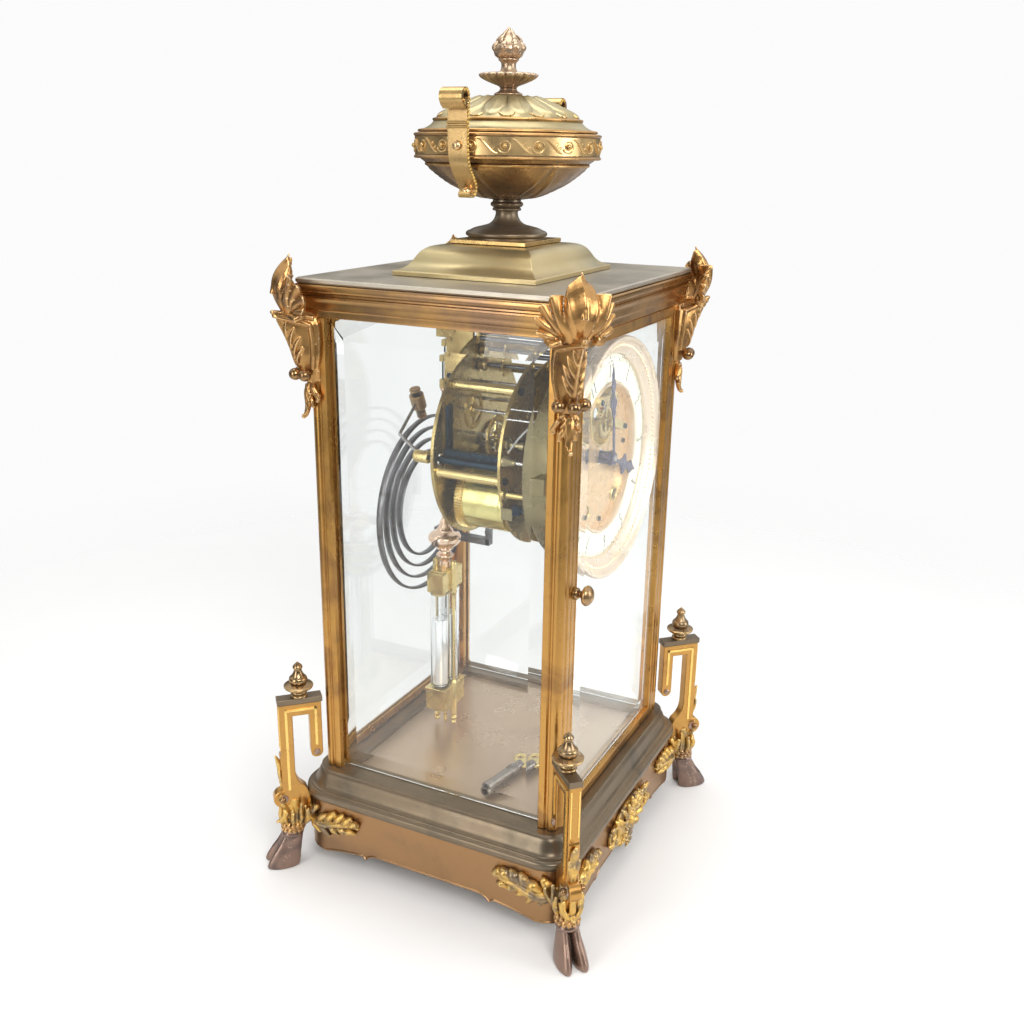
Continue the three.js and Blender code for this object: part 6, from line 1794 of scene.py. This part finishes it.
# Two glass vials of mercury: glass and metal each a closed body, with a hair of space between them.
LEVEL = 124.5
vial_shell = total(lathe(fair([(0, 83.4), (0, 83.4), (4.4, 83.4), (5.2, 83.7), (5.35, 84.4), (5.35, 84.4),
                               (5.35, 140.7), (5.35, 140.7), (4.75, 140.7),
                               (4.75, 140.7), (4.75, 84.8), (4.75, 84.8), (4.5, 84.2), (3.6, 84.0),
                               (0, 84.0)], 3), 48).at(x, 0, 0)
                   for x in (-5.7, 5.7))
mercury = total(lathe(fair([(0, 84.1), (0, 84.1), (3.6, 84.1), (4.4, 84.4), (4.68, 85), (4.68, 85),
                            (4.68, LEVEL - 0.9), (4.68, LEVEL - 0.9),
                            (4.5, LEVEL - 0.35), (3.9, LEVEL - 0.1), (2.4, LEVEL), (0, LEVEL)], 4), 48)
                .at(x, 0, 0) for x in (-5.7, 5.7))
piece("vial_tubes", hung(vial_shell), VIAL, body="pendulum", replaces="mercury_vials", slot="vial_glass",
      angle=35)
piece("vial_mercury", hung(mercury), MERCURY, body="pendulum", slot="grey_steel", angle=35)

# ------------------------------------------------------------------ gong and hammer
gong_z = 188.6
turns = np.linspace(0, 3.9, 300)
gong_angle = np.radians(-51) - turns * TAU
gong_r = 26.7 + 6.4 * turns
coil_line = np.stack([gong_r * np.cos(gong_angle), np.full(300, 46.6), gong_z + gong_r * np.sin(gong_angle)],
                     1)
coil = tube(coil_line, 2.0, 12, flat=0.375, across=(0, 1, 0))
gong_block = plate([[(12.4, 163.6), (20.6, 163.6), (20.6, 171.4), (12.4, 171.4)]], 6.2, 0.5).basis((1, 0, 0),
    (0, 0, 1), (0, -1, 0), (0, 46.8, 0))
gong_stalk = cuboid((15, 15.6, 164.7), (19.6, 44, 168.5)) + cuboid((15, 15.5, 164.7), (19.6, 17.9, 196))
piece("gong_coil", coil, STEEL, replaces="gong", slot="grey_steel", angle=50)
piece("gong_mount", gong_block + gong_stalk + rod((16.5, 43.9, 167.5), (16.5, 50, 167.5), 1.6, 20), STEEL,
      slot="grey_steel", bevel=0.3)
gong_screws = screw(17.3, 17.9, 172, 1.5, 1, 0.5) + screw(17.3, 17.9, 192, 1.5, 1, 1.4)
piece("gong_screws", gong_screws, BLUED, slot="blued_steel", angle=30)

HX, HZ = local("hammer")
tip_point, top_point = np.array([-4.3, 46.6, 239.7]), np.array([-11.8, 46.6, 256.2])
reach_len = np.linalg.norm(top_point - tip_point)
head_form = spindle(tip_point, top_point, fair([
    (0, 0.0), (1.5, 0.05), (2.3, 0.4), (2.6, 1.1), (2.6, 1.1), (2.6, 5.6), (2.6, 5.6), (3.2, 5.9), (3.9, 6.5),
    (4.0, 7.2), (4.0, 7.2), (4.0, 14.0),
    (4.0, 14.0), (3.8, 14.6), (3.0, 14.9), (3.0, 14.9), (1.15, 15.0), (1.15, 15.0), (1.15, 16.9),
    (1.15, 16.9), (2.6, 17.0), (3.0, 17.3),
    (3.0, reach_len - 0.3), (2.7, reach_len), (0, reach_len)], 3), 32)
elbow = np.array((-31.5, 44.0, 236.4))
wire_start, wire_end = np.array((HX, 24.5, HZ)), tip_point + (top_point - tip_point) * 0.6
wire = fair([wire_start, elbow + (wire_start - elbow) * 0.12, elbow + (wire_start - elbow) * 0.12,
             elbow + (wire_start - elbow) * 0.03,
             elbow + (wire_end - elbow) * 0.03, elbow + (wire_end - elbow) * 0.12,
             elbow + (wire_end - elbow) * 0.12, wire_end], 5)
hub_parts = rod((HX, FRONT_END, HZ), (HX, BACK_END, HZ), 2.2, 20) + rod((HX, 13, HZ), (HX, 29, HZ), 1.4, 16)
collar_form = turned_y(fair([(0, 19.9), (0, 19.9), (2.6, 19.9), (3.1, 20.3), (3.2, 21), (3.2, 21),
                             (3.2, 27.0), (3.2, 27.0), (3.1, 27.7), (2.6, 28.1),
                             (0, 28.1), (0, 28.1)], 3), 32).at(HX, 0, HZ)
piece("hammer_head", head_form, BROWN, body="hammer", replaces="hammer", slot="olive_brass", angle=32)
leather = spindle(tip_point, tip_point + (top_point - tip_point) / reach_len * 1.0,
                  [(0, -0.02), (2.2, -0.02), (2.62, 0.5), (2.66, 1.0), (0, 1.0)], 24)
piece("hammer_arm", tube(wire, 0.9, 12), BRIGHT_STEEL, body="hammer", slot="grey_steel", angle=50)
piece("hammer_collar", collar_form, BRASS, body="hammer", slot="polished_brass", angle=32)
piece("hammer_arbor", hub_parts, BLUED, body="hammer", slot="blued_steel", angle=32)
PINK = painted("hammer_leather", rgb(0.62, 0.36, 0.24), rgb(0.5, 0.26, 0.18), 120.0, (0.5, 0.7), 0.3)
piece("hammer_tip", leather, PINK, body="hammer", slot="olive_brass", angle=40)

# ------------------------------------------------------------------ winding key on the floor plate
KEY_Z = low("winding_key")[2] + 3.2
key_a, key_b = np.array([-54.0, -20.0, KEY_Z]), np.array([-25.0, -26.0, KEY_Z])
key_dir = (key_b - key_a) / np.linalg.norm(key_b - key_a)
key_side = np.array([-key_dir[1], key_dir[0], 0.0])
key_len = np.linalg.norm(key_b - key_a)
key_barrel = spindle(key_a, key_b, fair([
    (1.7, 0), (1.7, 0), (2.8, 0), (2.8, 0), (3.15, 0.5), (3.15, 2.6), (3.15, 2.6), (2.7, 3.1), (2.7, 3.1),
    (2.7, 20), (2.7, 20), (3.15, 20.6),
    (3.15, 24.4), (3.15, 24.4), (2.7, 25.0), (2.7, 25.0), (2.9, key_len - 0.4), (2.5, key_len),
    (2.5, key_len), (0, key_len), (0, key_len),
    (0, 9), (0, 9), (1.7, 9), (1.7, 9), (1.7, 0)], 3), 36)
piece("key_barrel", key_barrel, KEY_METAL, replaces="winding_key", slot="polished_brass", angle=32)
grip_loop = fair([(-1.2, -2.6), (-1.2, -2.6), (1.0, -3.8), (3.6, -6.0), (6.6, -7.4), (9.4, -7.0),
                  (10.9, -4.6), (10.6, -1.8), (9.2, 0), (10.6, 1.8), (10.9, 4.6),
                  (9.4, 7.0), (6.6, 7.4), (3.6, 6.0), (1.0, 3.8), (-1.2, 2.6), (-1.2, 2.6), (-1.2, -2.6)],
                  4)[:-1]
piece("key_grip", plate([grip_loop, circle(6.6, 4.0, 1.7, 20), circle(6.6, -4.0, 1.7, 20)], 1.7, 0.4).basis(
    key_dir, key_side, (0, 0, 1), key_b - key_dir * 1.4), BRASS, slot="polished_brass", angle=32)

# ------------------------------------------------------------------ studio
floor_look = Look("studio_floor")
distance = floor_look.node("ShaderNodeVectorMath", {0: floor_look.place}, operation="LENGTH").outputs["Value"]
paper = floor_look.mix(floor_look.ramp(floor_look.noise(3.0, 4.0), 0.3, 0.7), rgb(0.80, 0.80, 0.80),
                       rgb(0.82, 0.82, 0.82))
sheet = floor_look.node("ShaderNodeBsdfDiffuse", {"Color": paper})
fade = floor_look.node("ShaderNodeBsdfTransparent", {"Color": rgb(1, 1, 1)})
floor_shader = floor_look.node("ShaderNodeMixShader",
                               {0: floor_look.ramp(distance, 0.24, 0.8), 1: sheet.outputs[0],
                                2: fade.outputs[0]})
floor_look.finish(floor_shader.outputs[0])
FLOOR_SIDES, FLOOR_RADII = 96, (40, 400, 900, 1600)
floor_turns = np.arange(FLOOR_SIDES) * TAU / FLOOR_SIDES
floor_rings = [[(r * math.cos(a), r * math.sin(a), 0.0) for a in floor_turns] for r in FLOOR_RADII]
disc = skin(floor_rings, caps=False)
middle = Form(floor_rings[0], [tuple(range(FLOOR_SIDES))])
floor_mesh = bpy.data.meshes.new("floor")
whole_floor = disc + middle
floor_mesh.from_pydata((whole_floor.points * MM).tolist(), [], whole_floor.faces)
floor_mesh.materials.append(floor_look.material)
floor = bpy.data.objects.new("floor", floor_mesh)
bpy.context.scene.collection.objects.link(floor)
floor.location.z = -0.0002

world = bpy.data.worlds.new("studio")
world.use_nodes = True
tree = world.node_tree
tree.nodes.clear()


def wnode(kind, inputs=None, **settings):
    made = tree.nodes.new(kind)
    for key, value in settings.items():
        setattr(made, key, value)
    for key, value in (inputs or {}).items():
        if isinstance(value, bpy.types.NodeSocket):
            tree.links.new(value, made.inputs[key])
        else:
            made.inputs[key].default_value = value
    return made


direction = wnode("ShaderNodeTexCoord").outputs["Generated"]
split = wnode("ShaderNodeSeparateXYZ", {0: direction})
ray_height = wnode("ShaderNodeMapRange", {"Value": split.outputs["Z"], "From Min": -1.0, "From Max": 1.0})
room = wnode("ShaderNodeValToRGB", {0: ray_height.outputs[0]})
ramp_stops = [(0.0, 0.62), (0.47, 0.5), (0.5, 0.05), (0.56, 0.12), (0.66, 0.7), (0.8, 0.9), (1.0, 0.7)]
stops = room.color_ramp.elements
stops[0].position, stops[0].color = ramp_stops[0][0], (ramp_stops[0][1],) * 3 + (1,)
stops[1].position, stops[1].color = ramp_stops[-1][0], (ramp_stops[-1][1],) * 3 + (1,)
for position, value in ramp_stops[1:-1]:
    stops.new(position).color = (value, value, value, 1)
stretched = wnode("ShaderNodeMapping", {"Vector": direction, "Scale": (1.0, 1.0, 0.35)}).outputs[0]
room_cloud = wnode("ShaderNodeTexNoise", {"Vector": stretched, "Scale": 1.7, "Detail": 2.0})
patches = wnode("ShaderNodeMapRange", {"Value": room_cloud.outputs["Fac"], "From Min": 0.44,
                                       "From Max": 0.58, "To Min": 0.18, "To Max": 1.25},
                interpolation_type="SMOOTHSTEP").outputs[0]
glossy = wnode("ShaderNodeBackground", {"Color": room.outputs[0], "Strength": patches})
soft = wnode("ShaderNodeBackground", {"Color": (1, 1, 1, 1), "Strength": 0.62})
white = wnode("ShaderNodeBackground", {"Color": (1, 1, 1, 1), "Strength": 0.97})
path = wnode("ShaderNodeLightPath")
shiny = wnode("ShaderNodeMixShader", {0: path.outputs["Is Glossy Ray"], 1: soft.outputs[0],
                                      2: glossy.outputs[0]})
seen = wnode("ShaderNodeMath", {0: path.outputs["Is Camera Ray"], 1: path.outputs["Is Transmission Ray"]},
             operation="MAXIMUM")
both = wnode("ShaderNodeMixShader", {0: seen.outputs[0], 1: shiny.outputs[0], 2: white.outputs[0]})
wnode("ShaderNodeOutputWorld", {"Surface": both.outputs[0]})
bpy.context.scene.world = world


def lamp(name, place, target, size, power, colour=(1, 1, 1), tall=None):
    data = bpy.data.lights.new(name, "AREA")
    data.shape = "RECTANGLE"
    data.size = size
    data.size_y = tall or size
    data.energy = power
    data.color = colour
    obj = bpy.data.objects.new(name, data)
    bpy.context.scene.collection.objects.link(obj)
    obj.location = place
    obj.rotation_euler = (Vector(target) - Vector(place)).to_track_quat("-Z", "Y").to_euler()
    return obj


lamp("key_lamp", (-0.9, -0.9, 1.15), (0, 0, 0.2), 0.7, 13.0, (1.0, 0.985, 0.96))
lamp("side_lamp", (-1.15, 0.35, 0.5), (0, 0, 0.2), 0.35, 5.0, (1.0, 0.98, 0.95), 0.9)
lamp("front_lamp", (0.25, -1.2, 0.45), (0, 0, 0.22), 0.5, 6.0, (1.0, 1.0, 1.0), 0.8)
lamp("top_lamp", (0.1, 0.1, 1.3), (0, 0, 0.3), 0.8, 7.0)

# ------------------------------------------------------------------ camera
eye = (-0.5005, -0.2524, 0.3762)
yaw, pitch, roll = (math.radians(v) for v in (26.26, -18.24, 0.9))
forward = np.array([math.cos(pitch) * math.cos(yaw), math.cos(pitch) * math.sin(yaw), math.sin(pitch)])
level = np.cross(forward, (0, 0, 1.0))
level /= np.linalg.norm(level)
upward = np.cross(level, forward)
right = math.cos(roll) * level + math.sin(roll) * upward
above = -math.sin(roll) * level + math.cos(roll) * upward
camera_data = bpy.data.cameras.new("camera")
camera_data.lens = 38.45
camera_data.sensor_width = 36.0
camera_data.clip_start = 0.01
camera_data.dof.use_dof = False
camera = bpy.data.objects.new("camera", camera_data)
bpy.context.scene.collection.objects.link(camera)
camera.matrix_world = Matrix([(right[i], above[i], -forward[i], eye[i]) for i in range(3)] + [(0, 0, 0, 1)])
bpy.context.scene.camera = camera
bpy.context.scene.view_settings.view_transform = "Standard"
bpy.context.scene.view_settings.look = "None"
bpy.context.scene.view_settings.exposure = 0.0
